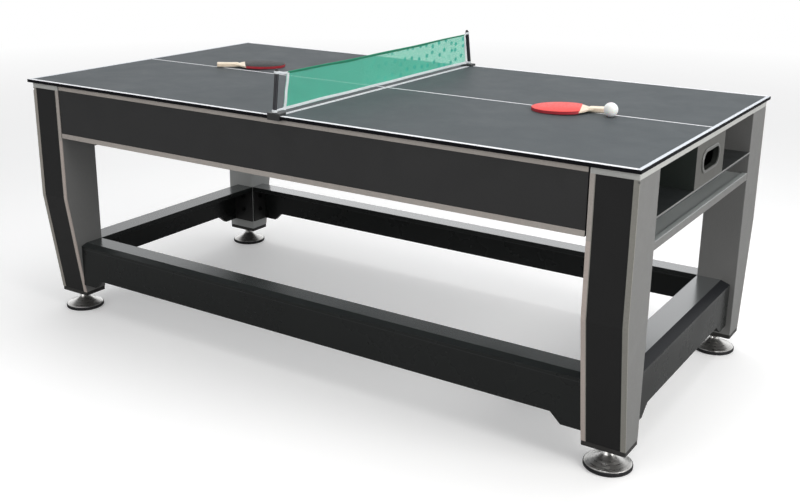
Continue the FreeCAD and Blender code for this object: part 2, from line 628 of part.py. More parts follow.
# (distance from the tip, half width)
BLADE_OUTLINE = [
    (3.5, 19.0), (12.0, 37.0), (26.0, 53.0), (45.0, 65.0), (68.0, 71.8), (90.0, 73.0),
    (110.0, 70.5), (126.0, 64.5), (138.0, 56.5), (147.0, 46.5), (154.5, 35.5),
    (161.0, 25.5), (168.0, 18.0), (176.0, 14.0)]
HANDLE_OUTLINE = [(162.0, 13.5), (176.0, 12.5), (208.0, 12.5), (235.0, 15.0), (238.0, 13.0)]
# name: (tip x, tip y, direction of the handle in degrees, turned over)
PADDLES = {"right": (531.0, -52.0, 19.0, False), "left": (-529.0, 149.0, 222.0, True)}


def smooth(points, steps):
    """Catmull-Rom curve through the points."""
    def beyond(end, inner):
        return (2 * end[0] - inner[0], 2 * end[1] - inner[1])

    padded = [beyond(points[0], points[1])] + points + [beyond(points[-1], points[-2])]
    curve = []
    for i in range(1, len(padded) - 2):
        for k in range(steps):
            t = k / float(steps)
            curve.append(tuple(
                0.5 * (2 * p1 + (p2 - p0) * t + (2 * p0 - 5 * p1 + 4 * p2 - p3) * t * t
                       + (3 * p1 - p0 - 3 * p2 + p3) * t ** 3)
                for p0, p1, p2, p3 in zip(*padded[i - 1:i + 3])))
    curve.append(points[-1])
    return curve


def cut_straight(outline):
    """The part of the outline short of RUBBER_END, closed straight across."""
    kept = []
    for i, point in enumerate(outline):
        last = outline[i - 1]
        if (point[0] < RUBBER_END) != (last[0] < RUBBER_END):
            share = (RUBBER_END - last[0]) / (point[0] - last[0])
            kept.append((RUBBER_END, last[1] + share * (point[1] - last[1])))
        if point[0] < RUBBER_END:
            kept.append(point)
    return kept


def handle_edge(a, b):
    """Edges of the two flat faces, other than those running nearly across."""
    return (abs(a.z) > HANDLE - 0.1 and abs(b.z) > HANDLE - 0.1
            and abs(a.z - b.z) < 0.1 and abs(a.x - b.x) > 2)


def paddle(tip_x, tip_y, angle, turned_over):
    """Wood and two rubbers, tilted to rest on the blade tip and the handle."""
    outline = smooth(BLADE_OUTLINE[::-1] + [(0.0, 0.0)] + [(x, -y) for x, y in BLADE_OUTLINE], 3)
    blade = prism_z(outline, -CORE, CORE)
    handle = prism_z([(x, -y) for x, y in HANDLE_OUTLINE] + HANDLE_OUTLINE[::-1],
                     -HANDLE, HANDLE)
    wood = blade.fuse(soften(handle, 2.8, handle_edge))
    rubber = cut_straight(outline)
    shapes = [wood, prism_z(rubber, CORE, SHEET), prism_z(rubber, -SHEET, -CORE)]
    tilt = math.degrees(math.atan2(HANDLE - SHEET, HANDLE_OUTLINE[0][0]))
    for shape in shapes:
        if turned_over:
            shape.rotate(ORIGIN, X_AXIS, 180)
        shape.translate(Vec(0, 0, SHEET))
        shape.rotate(ORIGIN, Y_AXIS, -tilt)
        shape.rotate(ORIGIN, Z_AXIS, angle)
        shape.translate(Vec(tip_x, tip_y, TOP_Z1 + 0.25))
    return shapes


for name, pose in PADDLES.items():
    wood, *rubbers = paddle(*pose)
    save("paddle_" + name, wood)
    save("paddle_rubber_" + name, *rubbers)

# ---- hollow ball on the top ----
BALL_R, BALL_WALL = 20.0, 0.5
ball_centre = Vec(761.0, -30.0, TOP_Z1 + BALL_R + 0.1)
save("ball", Part.makeSphere(BALL_R, ball_centre).cut(
    Part.makeSphere(BALL_R - BALL_WALL, ball_centre)))
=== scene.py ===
"""A games table: two tennis tops over a cabinet with a pool bed and a hockey bed.

The table stands on the floor at z = 0. Its length runs along X with left at -X,
and its width runs along Y with the front at -Y. Bats, ball and net lie on the tennis top.
The CAD pieces and all shader masks are in metres. The meshes built here are drawn in
millimetres, and build() turns them into metres.
"""
import math
from functools import cached_property

import bmesh
import bpy
import numpy as np
from mathutils import Matrix, Vector


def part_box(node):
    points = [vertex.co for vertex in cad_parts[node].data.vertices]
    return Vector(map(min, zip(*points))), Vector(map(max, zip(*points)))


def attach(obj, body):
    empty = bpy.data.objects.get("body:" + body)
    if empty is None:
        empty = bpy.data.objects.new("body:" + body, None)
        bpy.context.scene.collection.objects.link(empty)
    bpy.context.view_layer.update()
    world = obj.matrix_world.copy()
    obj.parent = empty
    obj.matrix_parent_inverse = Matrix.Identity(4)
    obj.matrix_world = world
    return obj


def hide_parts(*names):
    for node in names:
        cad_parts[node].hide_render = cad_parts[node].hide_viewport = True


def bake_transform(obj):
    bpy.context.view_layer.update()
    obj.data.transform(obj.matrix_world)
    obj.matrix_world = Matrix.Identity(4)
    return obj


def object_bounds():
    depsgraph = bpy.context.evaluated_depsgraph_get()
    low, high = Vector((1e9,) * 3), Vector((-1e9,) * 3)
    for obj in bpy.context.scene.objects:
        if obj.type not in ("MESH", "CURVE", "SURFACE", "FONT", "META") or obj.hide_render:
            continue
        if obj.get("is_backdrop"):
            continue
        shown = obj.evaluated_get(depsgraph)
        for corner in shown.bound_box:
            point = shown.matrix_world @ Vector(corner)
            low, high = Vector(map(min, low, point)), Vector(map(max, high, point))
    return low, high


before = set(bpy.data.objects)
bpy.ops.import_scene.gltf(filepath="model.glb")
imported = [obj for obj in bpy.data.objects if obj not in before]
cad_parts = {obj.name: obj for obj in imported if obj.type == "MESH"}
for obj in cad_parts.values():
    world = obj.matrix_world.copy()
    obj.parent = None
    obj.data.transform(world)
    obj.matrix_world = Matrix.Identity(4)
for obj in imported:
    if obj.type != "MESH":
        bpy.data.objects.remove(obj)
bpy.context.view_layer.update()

SCENE = bpy.context.scene
MM = 0.001
CORNERS = ("front_left", "front_right", "rear_left", "rear_right")

# ------------------------------------------------------------------ colours
WARM_SILVER = (0.41, 0.375, 0.345)
COOL_SILVER = (0.182, 0.182, 0.179)
BLACK = (0.0125, 0.0125, 0.0128)
SLATE = (0.078, 0.089, 0.096)
FIBREBOARD = ((0.30, 0.20, 0.115), (0.42, 0.30, 0.18))    # dark and light fibres
NET_DARK = (0.098, 0.66, 0.48)
NET_LIGHT = (0.185, 0.88, 0.68)
HEM_GREEN = (0.016, 0.27, 0.15)
TAPE_WHITE = (0.89, 0.925, 0.95)
BAT_RED = (0.84, 0.058, 0.050)
BAT_BLACK = (0.021, 0.021, 0.022)


def tone(color, gain, lift=0.0):
    """The colour made brighter or darker, held at 1."""
    return [min(1, c * gain + lift) for c in color]


# ------------------------------------------------------------------ node helpers
def math_method(operation, swapped=False):
    """A Value method that adds a Math node; swapped puts the other input first."""
    def method(self, *others):
        inputs = (*others, self) if swapped else (self, *others)
        return self.graph.math(operation, *inputs)
    return method


class Value:
    """An output socket. Arithmetic adds Math nodes, and comparisons give 0 or 1 masks."""
    __add__, __radd__ = math_method("ADD"), math_method("ADD", swapped=True)
    __sub__, __rsub__ = math_method("SUBTRACT"), math_method("SUBTRACT", swapped=True)
    __mul__, __rmul__ = math_method("MULTIPLY"), math_method("MULTIPLY", swapped=True)
    __lt__, __gt__ = math_method("LESS_THAN"), math_method("GREATER_THAN")
    __or__, __abs__ = math_method("MAXIMUM"), math_method("ABSOLUTE")
    sqrt, fract = math_method("SQRT"), math_method("FRACT")
    pingpong, arctan2 = math_method("PINGPONG"), math_method("ARCTAN2")

    def __init__(self, graph, socket):
        self.graph, self.socket = graph, socket

    def near(self, centre, within):
        return abs(self - centre) < within

    def remap(self, over=(0.3, 0.7), to=(0, 1)):
        """Map the range `over` to the range `to`."""
        inputs = dict(enumerate((self, *over, *to)))
        return self.graph.node("ShaderNodeMapRange", inputs)

    def mix(self, zero, one):
        """Colour `zero` where this value is 0, and `one` where it is 1."""
        return self.graph.mix(self, zero, one)


def hypot(a, b):
    return (a * a + b * b).sqrt()


class Graph:
    """Adds nodes to a node tree. A plain number given as a colour is a grey."""

    def __init__(self, tree):
        self.tree = tree

    def put(self, socket, value):
        if isinstance(value, Value):
            self.tree.links.new(value.socket, socket)
            return
        if socket.type == "RGBA":
            rgb = value if hasattr(value, "__len__") else (value,) * 3
            value = (*rgb, 1.0)
        socket.default_value = value

    def node(self, kind, inputs={}, output=0, **settings):
        node = self.tree.nodes.new(kind)
        for name, value in settings.items():
            setattr(node, name, value)
        for key, value in inputs.items():
            self.put(node.inputs[key], value)
        return Value(self, node.outputs[output])

    def math(self, operation, *inputs, clamp=False):
        return self.node("ShaderNodeMath", dict(enumerate(inputs)),
                         operation=operation, use_clamp=clamp)

    def mix(self, factor, zero, one, blend="MIX"):
        return self.node("ShaderNodeMix", {0: factor, 6: zero, 7: one}, output=2,
                         data_type="RGBA", blend_type=blend)

    def mix_shader(self, factor, zero, one):
        return self.node("ShaderNodeMixShader", {0: factor, 1: zero, 2: one})

    def dot(self, a, b):
        return self.node("ShaderNodeVectorMath", {0: a, 1: b}, output="Value",
                         operation="DOT_PRODUCT")

    def split(self, vector):
        first = self.node("ShaderNodeSeparateXYZ", {0: vector})
        return [Value(self, socket) for socket in first.socket.node.outputs]

    def geometry(self, output):
        return self.node("ShaderNodeNewGeometry", output=output)

    def camera_ray(self):
        """1 for what the camera sees directly, 0 for bounced light."""
        return self.node("ShaderNodeLightPath", output="Is Camera Ray")


class Material(Graph):
    """A material around one Principled shader, patterned by object coordinates."""

    def __init__(self, material):
        super().__init__(material.node_tree)
        self.material = material
        by_type = {node.type: node for node in self.tree.nodes}
        self.principled = by_type["BSDF_PRINCIPLED"]
        self.output = by_type["OUTPUT_MATERIAL"]

    @classmethod
    def new(cls, name):
        material = bpy.data.materials.new(name)
        material.use_nodes = True
        tree = material.node_tree
        tree.nodes.clear()
        output = tree.nodes.new("ShaderNodeOutputMaterial")
        principled = tree.nodes.new("ShaderNodeBsdfPrincipled")
        tree.links.new(principled.outputs[0], output.inputs[0])
        return cls(material)

    @cached_property
    def position(self):
        return self.node("ShaderNodeTexCoord", output="Object")

    @cached_property
    def axes(self):
        return self.split(self.position)

    x = property(lambda self: self.axes[0])
    y = property(lambda self: self.axes[1])
    z = property(lambda self: self.axes[2])

    def noise(self, scale, detail=4, rough=0.6, stretch=None, distortion=0.0, vector=None):
        """Cloudy noise; stretch scales the coordinates on each axis."""
        if stretch:
            vector = self.node("ShaderNodeMapping", {"Vector": self.position, "Scale": stretch})
        inputs = {"Vector": vector or self.position, "Scale": scale, "Detail": detail,
                  "Roughness": rough, "Distortion": distortion}
        return self.node("ShaderNodeTexNoise", inputs, output="Fac")

    def cells(self, scale, randomness=1.0, vector=None, **settings):
        """Distance to the nearest of a field of scattered points."""
        inputs = {"Vector": vector or self.position, "Scale": scale, "Randomness": randomness}
        return self.node("ShaderNodeTexVoronoi", inputs, output="Distance", **settings)

    def bevel(self, radius):
        return self.node("ShaderNodeBevel", {"Radius": radius}, samples=3)

    def bump(self, height, strength, depth, bevel=None):
        """A bumped normal, over edges rounded by the bevel radius."""
        inputs = {"Strength": strength, "Distance": depth, "Height": height}
        if bevel:
            inputs["Normal"] = self.bevel(bevel)
        return self.node("ShaderNodeBump", inputs)

    def edge(self, radius):
        """About 1 on sharp edges and 0 on flat faces."""
        turn = self.dot(self.bevel(radius), self.geometry("Normal"))
        return turn.remap(over=(0.99, 0.75))

    def worn(self, color, worn_color, amount, radius):
        """The colour with its handled edges rubbed towards worn_color."""
        return (self.edge(radius) * amount).mix(color, worn_color)

    def surface(self, color, rough, normal, specular=0.5, **others):
        """Fill in the Principled shader; underscores stand for spaces in other names."""
        inputs = {"Base Color": color, "Roughness": rough, "Normal": normal,
                  "Specular IOR Level": specular}
        inputs.update({name.replace("_", " "): value for name, value in others.items()})
        for name, value in inputs.items():
            self.put(self.principled.inputs[name], value)
        return self.material

    @property
    def shader(self):
        return Value(self, self.principled.outputs[0])

    def translucent(self, color, amount):
        """The Principled shader with a share of light passing through."""
        through = self.node("ShaderNodeBsdfTranslucent", {0: color})
        return self.mix_shader(amount, self.shader, through)

    def show(self, shader):
        self.put(self.output.inputs[0], shader)
        return self.material


# ------------------------------------------------------------------ kinds of finish
def laminate(name, base, rough, grain, variation=0.05, bump=0.10, wear=0.3, wear_color=None,
             specular=0.5, pore=900.0):
    """Laminated board: faint cloudy colour, fine directional grain, handled edges."""
    mat = Material.new(name)
    cloud = mat.noise(scale=3.2, rough=0.55)
    fine = mat.noise(scale=pore * 0.25, stretch=grain)
    color = cloud.remap().mix(tone(base, 1 - variation), tone(base, 1 + variation))
    color = fine.remap(over=(0.35, 0.65)).mix(color, tone(base, 1 + 2.2 * variation))
    color = mat.worn(color, wear_color or tone(base, 1.7, lift=0.02), amount=wear, radius=0.0012)
    smudge = mat.noise(scale=11.0, detail=5, rough=0.65, distortion=0.4)
    micro = mat.noise(scale=pore, detail=2, rough=0.5, stretch=grain)
    return mat.surface(
        color, smudge.remap(over=(0.3, 0.75), to=(rough - 0.05, rough + 0.09)),
        mat.bump(micro * 0.6 + fine * 0.4, strength=bump, depth=0.0006, bevel=0.0007),
        specular=specular, Coat_Roughness=0.12)


def shade(material, mask, tint):
    """Multiply the colour of a finished material by tint where mask(material) is 1."""
    mat = Material(material)
    socket = mat.principled.inputs["Base Color"]
    color = Value(mat, socket.links[0].from_socket)
    mat.put(socket, mat.mix(1.0, color, mask(mat).mix(1.0, tint), blend="MULTIPLY"))


def plastic(name, base, rough, bump=0.15, scale=700.0, subsurface=0.0):
    mat = Material.new(name)
    color = mat.noise(scale=14.0).remap().mix(tone(base, 1 - 0.06), tone(base, 1 + 0.06))
    color = mat.worn(color, tone(base, 1.5, lift=0.03), amount=0.3, radius=0.0009)
    glow = {}
    if subsurface:
        glow = dict(Subsurface_Weight=subsurface, Subsurface_Scale=0.004)
    return mat.surface(
        color, mat.noise(scale=40.0).remap(to=(rough - 0.06, rough + 0.08)),
        mat.bump(mat.cells(scale), strength=bump, depth=0.0004, bevel=0.0006), **glow)


def metal(name, base, rough, bump=0.12, centre=None):
    """Brushed metal; with a centre (x, y) the lines run round it as on turned metal."""
    mat = Material.new(name)
    if centre:
        dx, dy = mat.x - centre[0], mat.y - centre[1]
        radius = hypot(dx, dy)
        rings = mat.node("ShaderNodeCombineXYZ", {0: radius, 2: mat.z * 0.4})
        line = mat.noise(scale=300.0, detail=3, vector=rings)
        polar = {0: dy.arctan2(dx) * 1.2, 1: radius * 60.0}
        smear = mat.noise(scale=3.0, vector=mat.node("ShaderNodeCombineXYZ", polar))
    else:
        line = mat.noise(scale=900.0, detail=3, stretch=(1, 1, 1))
        smear = mat.noise(scale=25.0)
    gloss = line.remap(to=(rough - 0.05, rough + 0.08))
    return mat.surface(
        line.remap().mix(tone(base, 0.86), tone(base, 1.06)),
        gloss + smear.remap(over=(0.35, 0.7), to=(-0.03, 0.06)),
        mat.bump(line, strength=bump, depth=0.0003, bevel=0.0005), Metallic=1.0)


def rubber(name, base, rough=0.72):
    mat = Material.new(name)
    cloud = mat.noise(scale=60.0, rough=0.65)
    height = mat.noise(scale=900.0, detail=3) + cloud * 0.4
    return mat.surface(
        cloud.remap().mix(tone(base, 0.85), tone(base, 1.2, lift=0.002)),
        mat.noise(scale=90.0, detail=3).remap(to=(rough - 0.08, rough + 0.08)),
        mat.bump(height, strength=0.3, depth=0.0005, bevel=0.0006), specular=0.35)


# ------------------------------------------------------------------ frame finishes
def stretcher_laminate(name, polish, painted_light_top_colors, painted_bevel_shading, joint_strength):
    """Black laminate rail: glossy flat top with painted light, dull bevel with a painted tone of
    light and shade, fine pale joint on its upright sides.
    """
    mat = Material.new(name)
    upward = mat.split(mat.geometry("True Normal"))[2]
    flat = upward.remap(over=(0.972, 0.99))
    sloped = upward.remap(over=(0.80, 0.90)) * (1.0 - flat)
    joint = mat.z.near(0.2330, within=0.0007) * (abs(upward) < 0.3)
    cloud = mat.noise(scale=3.0, rough=0.55)
    smear = mat.noise(scale=5.0, stretch=(1, 1, 1))
    color = cloud.remap().mix((0.0096, 0.0110, 0.0108), (0.0116, 0.0132, 0.0130))
    # painted light: the flat top is painted paler than the sides
    color = flat.mix(color, cloud.remap().mix(*painted_light_top_colors))
    # painted light and shade: the bevel gets its own painted tone
    color = sloped.mix(color, painted_bevel_shading)
    color = (joint * joint_strength).mix(color, (0.085, 0.088, 0.092))
    color = mat.worn(color, 0.05, amount=0.12, radius=0.0008)
    rough = flat.mix(smear.remap(to=(0.24, 0.32)), smear.remap(to=(0.20, 0.25)))
    fine = mat.noise(scale=1300.0, detail=3)
    return mat.surface(
        color, sloped.mix(rough, 0.34),
        mat.bump(fine, strength=0.010, depth=0.0003, bevel=0.0007),
        specular=flat.mix(0.33, 1.0), Coat_Weight=flat * polish, Coat_Roughness=0.22,
        Coat_IOR=2.1)


def shelf_surface(mat, color, fine):
    return mat.surface(color, mat.noise(scale=12).remap(to=(0.30, 0.44)),
                       mat.bump(fine, strength=0.10, depth=0.0005, bevel=0.0008))


def shelf_grain(mat):
    return mat.noise(scale=240.0, detail=3, stretch=(6, 0.3, 6))


def lower_shelf_board():
    """Grey shelf board with a silver strip along its outer edge; the board's grey is made paler
    as painted light.
    """
    mat = Material.new("shelf_board_painted_light_with_silver_lip")
    lip = abs(mat.x) > 1.0362
    cloud = mat.noise(scale=3.0, rough=0.55)
    # painted light: the board grey is paler to stand for the sky light it reflects
    board = cloud.remap().mix((0.335, 0.360, 0.358), (0.390, 0.415, 0.415))
    fine = shelf_grain(mat)
    silver = fine.remap(over=(0.35, 0.65)).mix(tone(COOL_SILVER, 0.93), tone(COOL_SILVER, 1.08))
    color = mat.worn(lip.mix(board, silver), (0.5, 0.49, 0.47), amount=0.3, radius=0.0012)
    return shelf_surface(mat, color, fine)


def upper_shelf_board():
    """Dark shelf board, pale on the upper part of its outer edge."""
    mat = Material.new("upper_shelf_board")
    outer = (abs(mat.x) > 1.0365) * (mat.z > 0.6618)
    cloud = mat.noise(scale=3.0, rough=0.55)
    board = cloud.remap().mix((0.022, 0.025, 0.026), (0.030, 0.033, 0.034))
    return shelf_surface(mat, outer.mix(board, (0.19, 0.195, 0.19)), shelf_grain(mat))


def tennis_paint():
    """Satin slate paint with white lines, black edges and bare board under it."""
    mat = Material.new("tennis_top_paint")
    wobble = (mat.noise(scale=420.0, detail=2, rough=0.5) - 0.5) * 0.0007
    across_x, across_y = abs(mat.x) + wobble, abs(mat.y) + wobble
    top, under = mat.z > 0.81285, mat.z < 0.80315
    ends = across_x > 1.0340
    border = ends | (across_y > 0.5392)
    centre_line = across_y < 0.0034
    seam = (across_x < 0.0072) * (abs(mat.x) > 0.0006)
    line = (border | centre_line | seam) * top
    side = mat.math("SUBTRACT", 1.0, top | under, clamp=True)

    cloud = mat.noise(scale=1.6, rough=0.55, distortion=0.3)
    fine = mat.noise(scale=260.0, rough=0.65)
    scuff = mat.noise(scale=70.0, detail=6, rough=0.7, stretch=(0.25, 1.4, 1), distortion=0.6)
    color = cloud.remap().mix(tone(SLATE, 0.965), tone(SLATE, 1.035))
    color = fine.remap(over=(0.4, 0.62), to=(0, 0.4)).mix(color, tone(SLATE, 1.16))
    worn = tone(SLATE, 1.45, lift=0.01)
    color = scuff.remap(over=(0.64, 0.72), to=(0, 0.25)).mix(color, worn)
    white = mat.noise(scale=130.0).remap(over=(0.35, 0.7))
    white = white.mix((0.86, 0.87, 0.90), (0.74, 0.75, 0.78))
    white = (ends * 0.75).mix(white, (0.58, 0.62, 0.67))
    color = line.mix(color, white)
    black = mat.noise(scale=90.0, detail=3).remap()
    color = side.mix(color, black.mix((0.0040, 0.0042, 0.0060), (0.0066, 0.0068, 0.0085)))
    board = mat.noise(scale=180.0, detail=5, rough=0.7).remap()
    color = under.mix(color, board.mix((0.030, 0.031, 0.032), 0.050))
    rough = mat.noise(scale=9.0, detail=5, rough=0.65, distortion=0.4)
    return mat.surface(
        color, side.mix(rough.remap(over=(0.3, 0.75), to=(0.48, 0.58)), 0.50),
        mat.bump(fine * 0.5 + line * 0.35, strength=0.10, depth=0.0005, bevel=0.0007),
        specular=side.mix(0.06, 0.07))


def rim_plastic():
    """Moulded rim: mid-grey flange outside, near-black bore painted as shade."""
    mat = Material.new("rim_grey_plastic")
    cloud = mat.noise(scale=30.0)
    outside = abs(mat.x) > 1.0378
    flange = cloud.remap().mix((0.125, 0.127, 0.122), (0.145, 0.147, 0.142))
    # painted shade: the bore inside the hand hole is near-black
    bore_painted_shade = cloud.remap().mix((0.020, 0.022, 0.020), (0.030, 0.033, 0.030))
    worn = mat.edge(0.0008) * outside * 0.4
    color = worn.mix(outside.mix(bore_painted_shade, flange), (0.30, 0.30, 0.29))
    return mat.surface(
        color, outside.mix(0.6, 0.34),
        mat.bump(mat.cells(900.0), strength=0.06, depth=0.0003, bevel=0.0008),
        specular=outside.mix(0.15, 0.5))


def post_plastic():
    """Charcoal tube on a darker moulded clip, with a black cap on top."""
    clip_top, cap_foot = 0.8202, 0.9352
    mat = Material.new("net_post_charcoal")
    cloud = mat.noise(scale=22.0)
    tube = cloud.remap().mix((0.017, 0.0175, 0.022), (0.022, 0.0225, 0.028))
    clip = cloud.remap().mix((0.022, 0.023, 0.024), (0.029, 0.030, 0.031))
    color = (mat.z < clip_top).mix(tube, clip)
    color = (mat.z > cap_foot).mix(color, (0.008, 0.008, 0.009))
    color = mat.worn(color, (0.07, 0.07, 0.075), amount=0.35, radius=0.0008)
    return mat.surface(
        color, (mat.z < clip_top).mix(cloud.remap(to=(0.28, 0.36)), 0.45),
        mat.bump(mat.cells(900.0), strength=0.08, depth=0.0003, bevel=0.0008))


# ------------------------------------------------------------------ cabinet finishes
def bare_fibreboard():
    mat = Material.new("bare_fibreboard")
    fibre = mat.noise(scale=220.0, detail=5, rough=0.7)
    cloud = mat.noise(scale=6.0, detail=3, rough=0.5)
    color = fibre.remap().mix(*FIBREBOARD)
    color = cloud.remap(to=(0, 0.25)).mix(color, (0.24, 0.16, 0.09))
    return mat.surface(
        color, 0.75, mat.bump(fibre, strength=0.35, depth=0.0006, bevel=0.0007))


def playing_cloth():
    """Napped cloth: short fibres, a soft sheen and a faint nap direction."""
    mat = Material.new("green_playing_cloth")
    nap = mat.noise(scale=1500.0, rough=0.75, stretch=(0.35, 1, 1))
    pile = mat.noise(scale=420.0, rough=0.7)
    cloud = mat.noise(scale=3.5)
    color = pile.remap().mix((0.008, 0.105, 0.048), (0.017, 0.165, 0.078))
    color = cloud.remap(over=(0.35, 0.7), to=(0, 0.5)).mix(color, (0.013, 0.125, 0.062))
    color = nap.remap(over=(0.6, 0.75), to=(0, 0.35)).mix(color, (0.06, 0.28, 0.16))
    return mat.surface(
        color, 0.9, mat.bump(nap + pile * 0.7, strength=0.5, depth=0.0008),
        specular=0.15, Sheen_Weight=0.35, Sheen_Roughness=0.4)


def rail_laminate():
    """Black laminated rail with small pale sight marks at even spacing."""
    mat = Material.new("pool_rail_black")
    fine = mat.noise(scale=320.0, stretch=(0.5, 4, 4))
    top = mat.z > 0.7965

    def dots(along, across, pitch, row):
        from_dot = pitch / 2 - (along + 0.0).pingpong(pitch / 2)
        return hypot(from_dot, across - row) < 0.0042

    long_rows = dots(mat.x, abs(mat.y), pitch=0.423, row=0.494) * (abs(mat.x) < 0.80)
    end_rows = dots(mat.y, abs(mat.x), pitch=0.312, row=0.872) * (abs(mat.y) < 0.42)
    color = fine.remap().mix((0.014, 0.013, 0.012), (0.030, 0.027, 0.024))
    color = ((long_rows | end_rows) * top).mix(color, (0.72, 0.70, 0.62))
    return mat.surface(
        color, mat.noise(scale=14).remap(to=(0.24, 0.36)),
        mat.bump(fine, strength=0.12, depth=0.0005, bevel=0.001),
        Coat_Weight=0.3, Coat_Roughness=0.15)


def glide_bed():
    """Glossy white glide bed, facing down, with fine air holes and plain court lines."""
    hole_pitch, hole_radius, half_line = 0.0254, 0.0011, 0.0035
    mat = Material.new("glide_bed_laminate")
    lower = mat.z < 0.6614
    from_x, from_y = (axis.pingpong(hole_pitch / 2) - 0.0 for axis in (mat.x, mat.y))
    inside = (abs(mat.x) < 0.82) * (abs(mat.y) < 0.478)
    hole = (hypot(from_x, from_y) < hole_radius) * inside * lower
    ring = hypot(mat.x, mat.y).near(0.15, within=half_line)
    middle = abs(mat.x) < half_line
    goal = hypot(abs(mat.x) - 0.826, mat.y).near(0.19, within=half_line)
    blue = abs(mat.x).near(0.33, within=half_line)
    color = mat.noise(scale=2.0, rough=0.5).remap().mix((0.70, 0.72, 0.74), (0.76, 0.78, 0.80))
    color = ((ring | middle | goal) * inside).mix(color, (0.50, 0.025, 0.03))
    color = (blue * inside).mix(color, (0.03, 0.08, 0.40))
    board = mat.noise(scale=220.0, detail=5, rough=0.7).remap().mix(*FIBREBOARD)
    color = hole.mix(lower.mix(board, color), 0.004)
    rough = mat.noise(scale=9, detail=5).remap(to=(0.16, 0.26))
    return mat.surface(
        color, hole.mix(rough, 0.8),
        mat.bump(1.0 - hole, strength=0.6, depth=0.0008, bevel=0.0006))


# ------------------------------------------------------------------ making the finishes
LEG_LAMINATE = dict(base=COOL_SILVER, rough=0.40, variation=0.035, grain=(6, 6, 0.35))
leg = laminate("leg_silver_laminate", **LEG_LAMINATE)
leg_rear_left = laminate("leg_silver_laminate_painted_light", **LEG_LAMINATE)
LEG_LOW, LEG_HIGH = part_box("leg_rear_left")
# painted light: the right and front faces of the rear left leg are painted paler, in place of the
# light that falls on them
shade(leg_rear_left, lambda mat: (mat.x > LEG_HIGH.x - 0.0015) | (mat.y < LEG_LOW.y + 0.0015),
      tint=(2.3, 2.35, 2.35))
silver = laminate("end_top_silver_laminate", (0.480, 0.485, 0.468), rough=0.38,
                  variation=0.04, grain=(6, 0.3, 6))
trim = laminate("warm_silver_trim", WARM_SILVER, rough=0.34, grain=(1, 8, 1), wear=0.35,
                specular=0.6)
# painted light and shade on the trims: lighter and pinker on the cabinet below z 0.62, darker on
# the legs, darker again on the front right leg
shade(trim, lambda mat: (mat.z < 0.62) * (abs(mat.x) < 0.93), tint=(1.20, 1.13, 1.12))
shade(trim, lambda mat: abs(mat.x) > 0.93, tint=(0.80, 0.82, 0.80))
shade(trim, lambda mat: (mat.x > 0.93) * (mat.y < 0.0), tint=(0.80, 0.83, 0.83))
black = laminate("black_laminate", tone(BLACK, 1.45), rough=0.36, variation=0.10,
                 grain=(0.6, 4, 4), bump=0.22, wear=0.25, wear_color=(0.06, 0.058, 0.055),
                 pore=1500.0)
inlay = laminate("black_inlay", tone(BLACK, 0.8), rough=0.36, variation=0.10,
                 grain=(4, 4, 0.6), bump=0.18, wear=0.2, wear_color=(0.05, 0.048, 0.045),
                 pore=1500.0, specular=0.32)
# painted light: the front and left rails have tops and a bevel painted paler than their sides
stretcher = stretcher_laminate(
    "stretcher_black_laminate", polish=0.0, joint_strength=0.3,
    painted_light_top_colors=((0.032, 0.039, 0.0385), (0.041, 0.050, 0.050)),
    painted_bevel_shading=(0.0225, 0.0265, 0.0265))
# painted light: the rear and right rails have still paler tops, and a dark blue painted
# reflection on the bevel
stretcher_polished_painted_light = stretcher_laminate(
    "stretcher_black_laminate_polished_painted_light", polish=1.0, joint_strength=0.8,
    painted_light_top_colors=((0.048, 0.055, 0.058), (0.060, 0.069, 0.073)),
    painted_bevel_shading=(0.0085, 0.0095, 0.0125))
dark = laminate("dark_grey_board", (0.0095, 0.0115, 0.0112), rough=0.46, variation=0.08,
                grain=(3, 0.6, 3), bump=0.15, specular=0.25)
pivot_box = laminate("pivot_box_grey_painted_shade", (0.100, 0.100, 0.094), rough=0.46, grain=(3, 0.6, 3),
                     bump=0.12, specular=0.3)
# painted shade: the board is darkened almost to black in and around the hand hole
shade(pivot_box, lambda mat: (abs(mat.y) < 0.0688) * mat.z.near(0.7295, within=0.0258),
      tint=(0.14, 0.15, 0.14))
# painted shade: every face but the outer end face is darkened and tinted green, as shade in the
# bay
shade(pivot_box, lambda mat: abs(mat.x) < 1.0372, tint=(0.40, 0.49, 0.47))
lower_shelf = lower_shelf_board()
upper_shelf = upper_shelf_board()
tennis = tennis_paint()
cap = plastic("end_cap_black", (0.022, 0.021, 0.020), rough=0.42)
rim = rim_plastic()
nylon = plastic("nylon", (0.72, 0.70, 0.64), rough=0.45, bump=0.06, subsurface=0.2)
knob = plastic("knob_black", (0.018, 0.018, 0.018), rough=0.38)
post = post_plastic()
white_plastic = plastic("bumper_white_plastic", (0.78, 0.77, 0.72), rough=0.28, bump=0.03)
grey_plastic = plastic("tray_grey_plastic", (0.20, 0.20, 0.205), rough=0.4)
black_plastic = plastic("moulded_black", (0.020, 0.020, 0.021), rough=0.42)
zinc = metal("zinc_plate", (0.66, 0.66, 0.62), rough=0.32)
black_bolt = metal("bolt_black_oxide", (0.035, 0.035, 0.036), rough=0.42)
bracket = plastic("bracket_powder_coat", (0.020, 0.020, 0.020), rough=0.5, bump=0.3,
                  scale=1400.0)
foot_rubber = rubber("black_rubber_pad", (0.014, 0.014, 0.016))
bumper_rubber = rubber("red_bumper_rubber", (0.42, 0.022, 0.018), rough=0.5)
raw_board = bare_fibreboard()
cloth = playing_cloth()
rail = rail_laminate()
glide = glide_bed()


def turned_foot(corner):
    """Turned metal, its lines centred on one foot."""
    low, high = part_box("foot_" + corner)
    centre = (low + high) / 2
    return metal("turned_foot_" + corner, (0.74, 0.73, 0.71), rough=0.30, bump=0.0,
                 centre=(centre.x, centre.y))


foot_metal = {corner: turned_foot(corner) for corner in CORNERS}

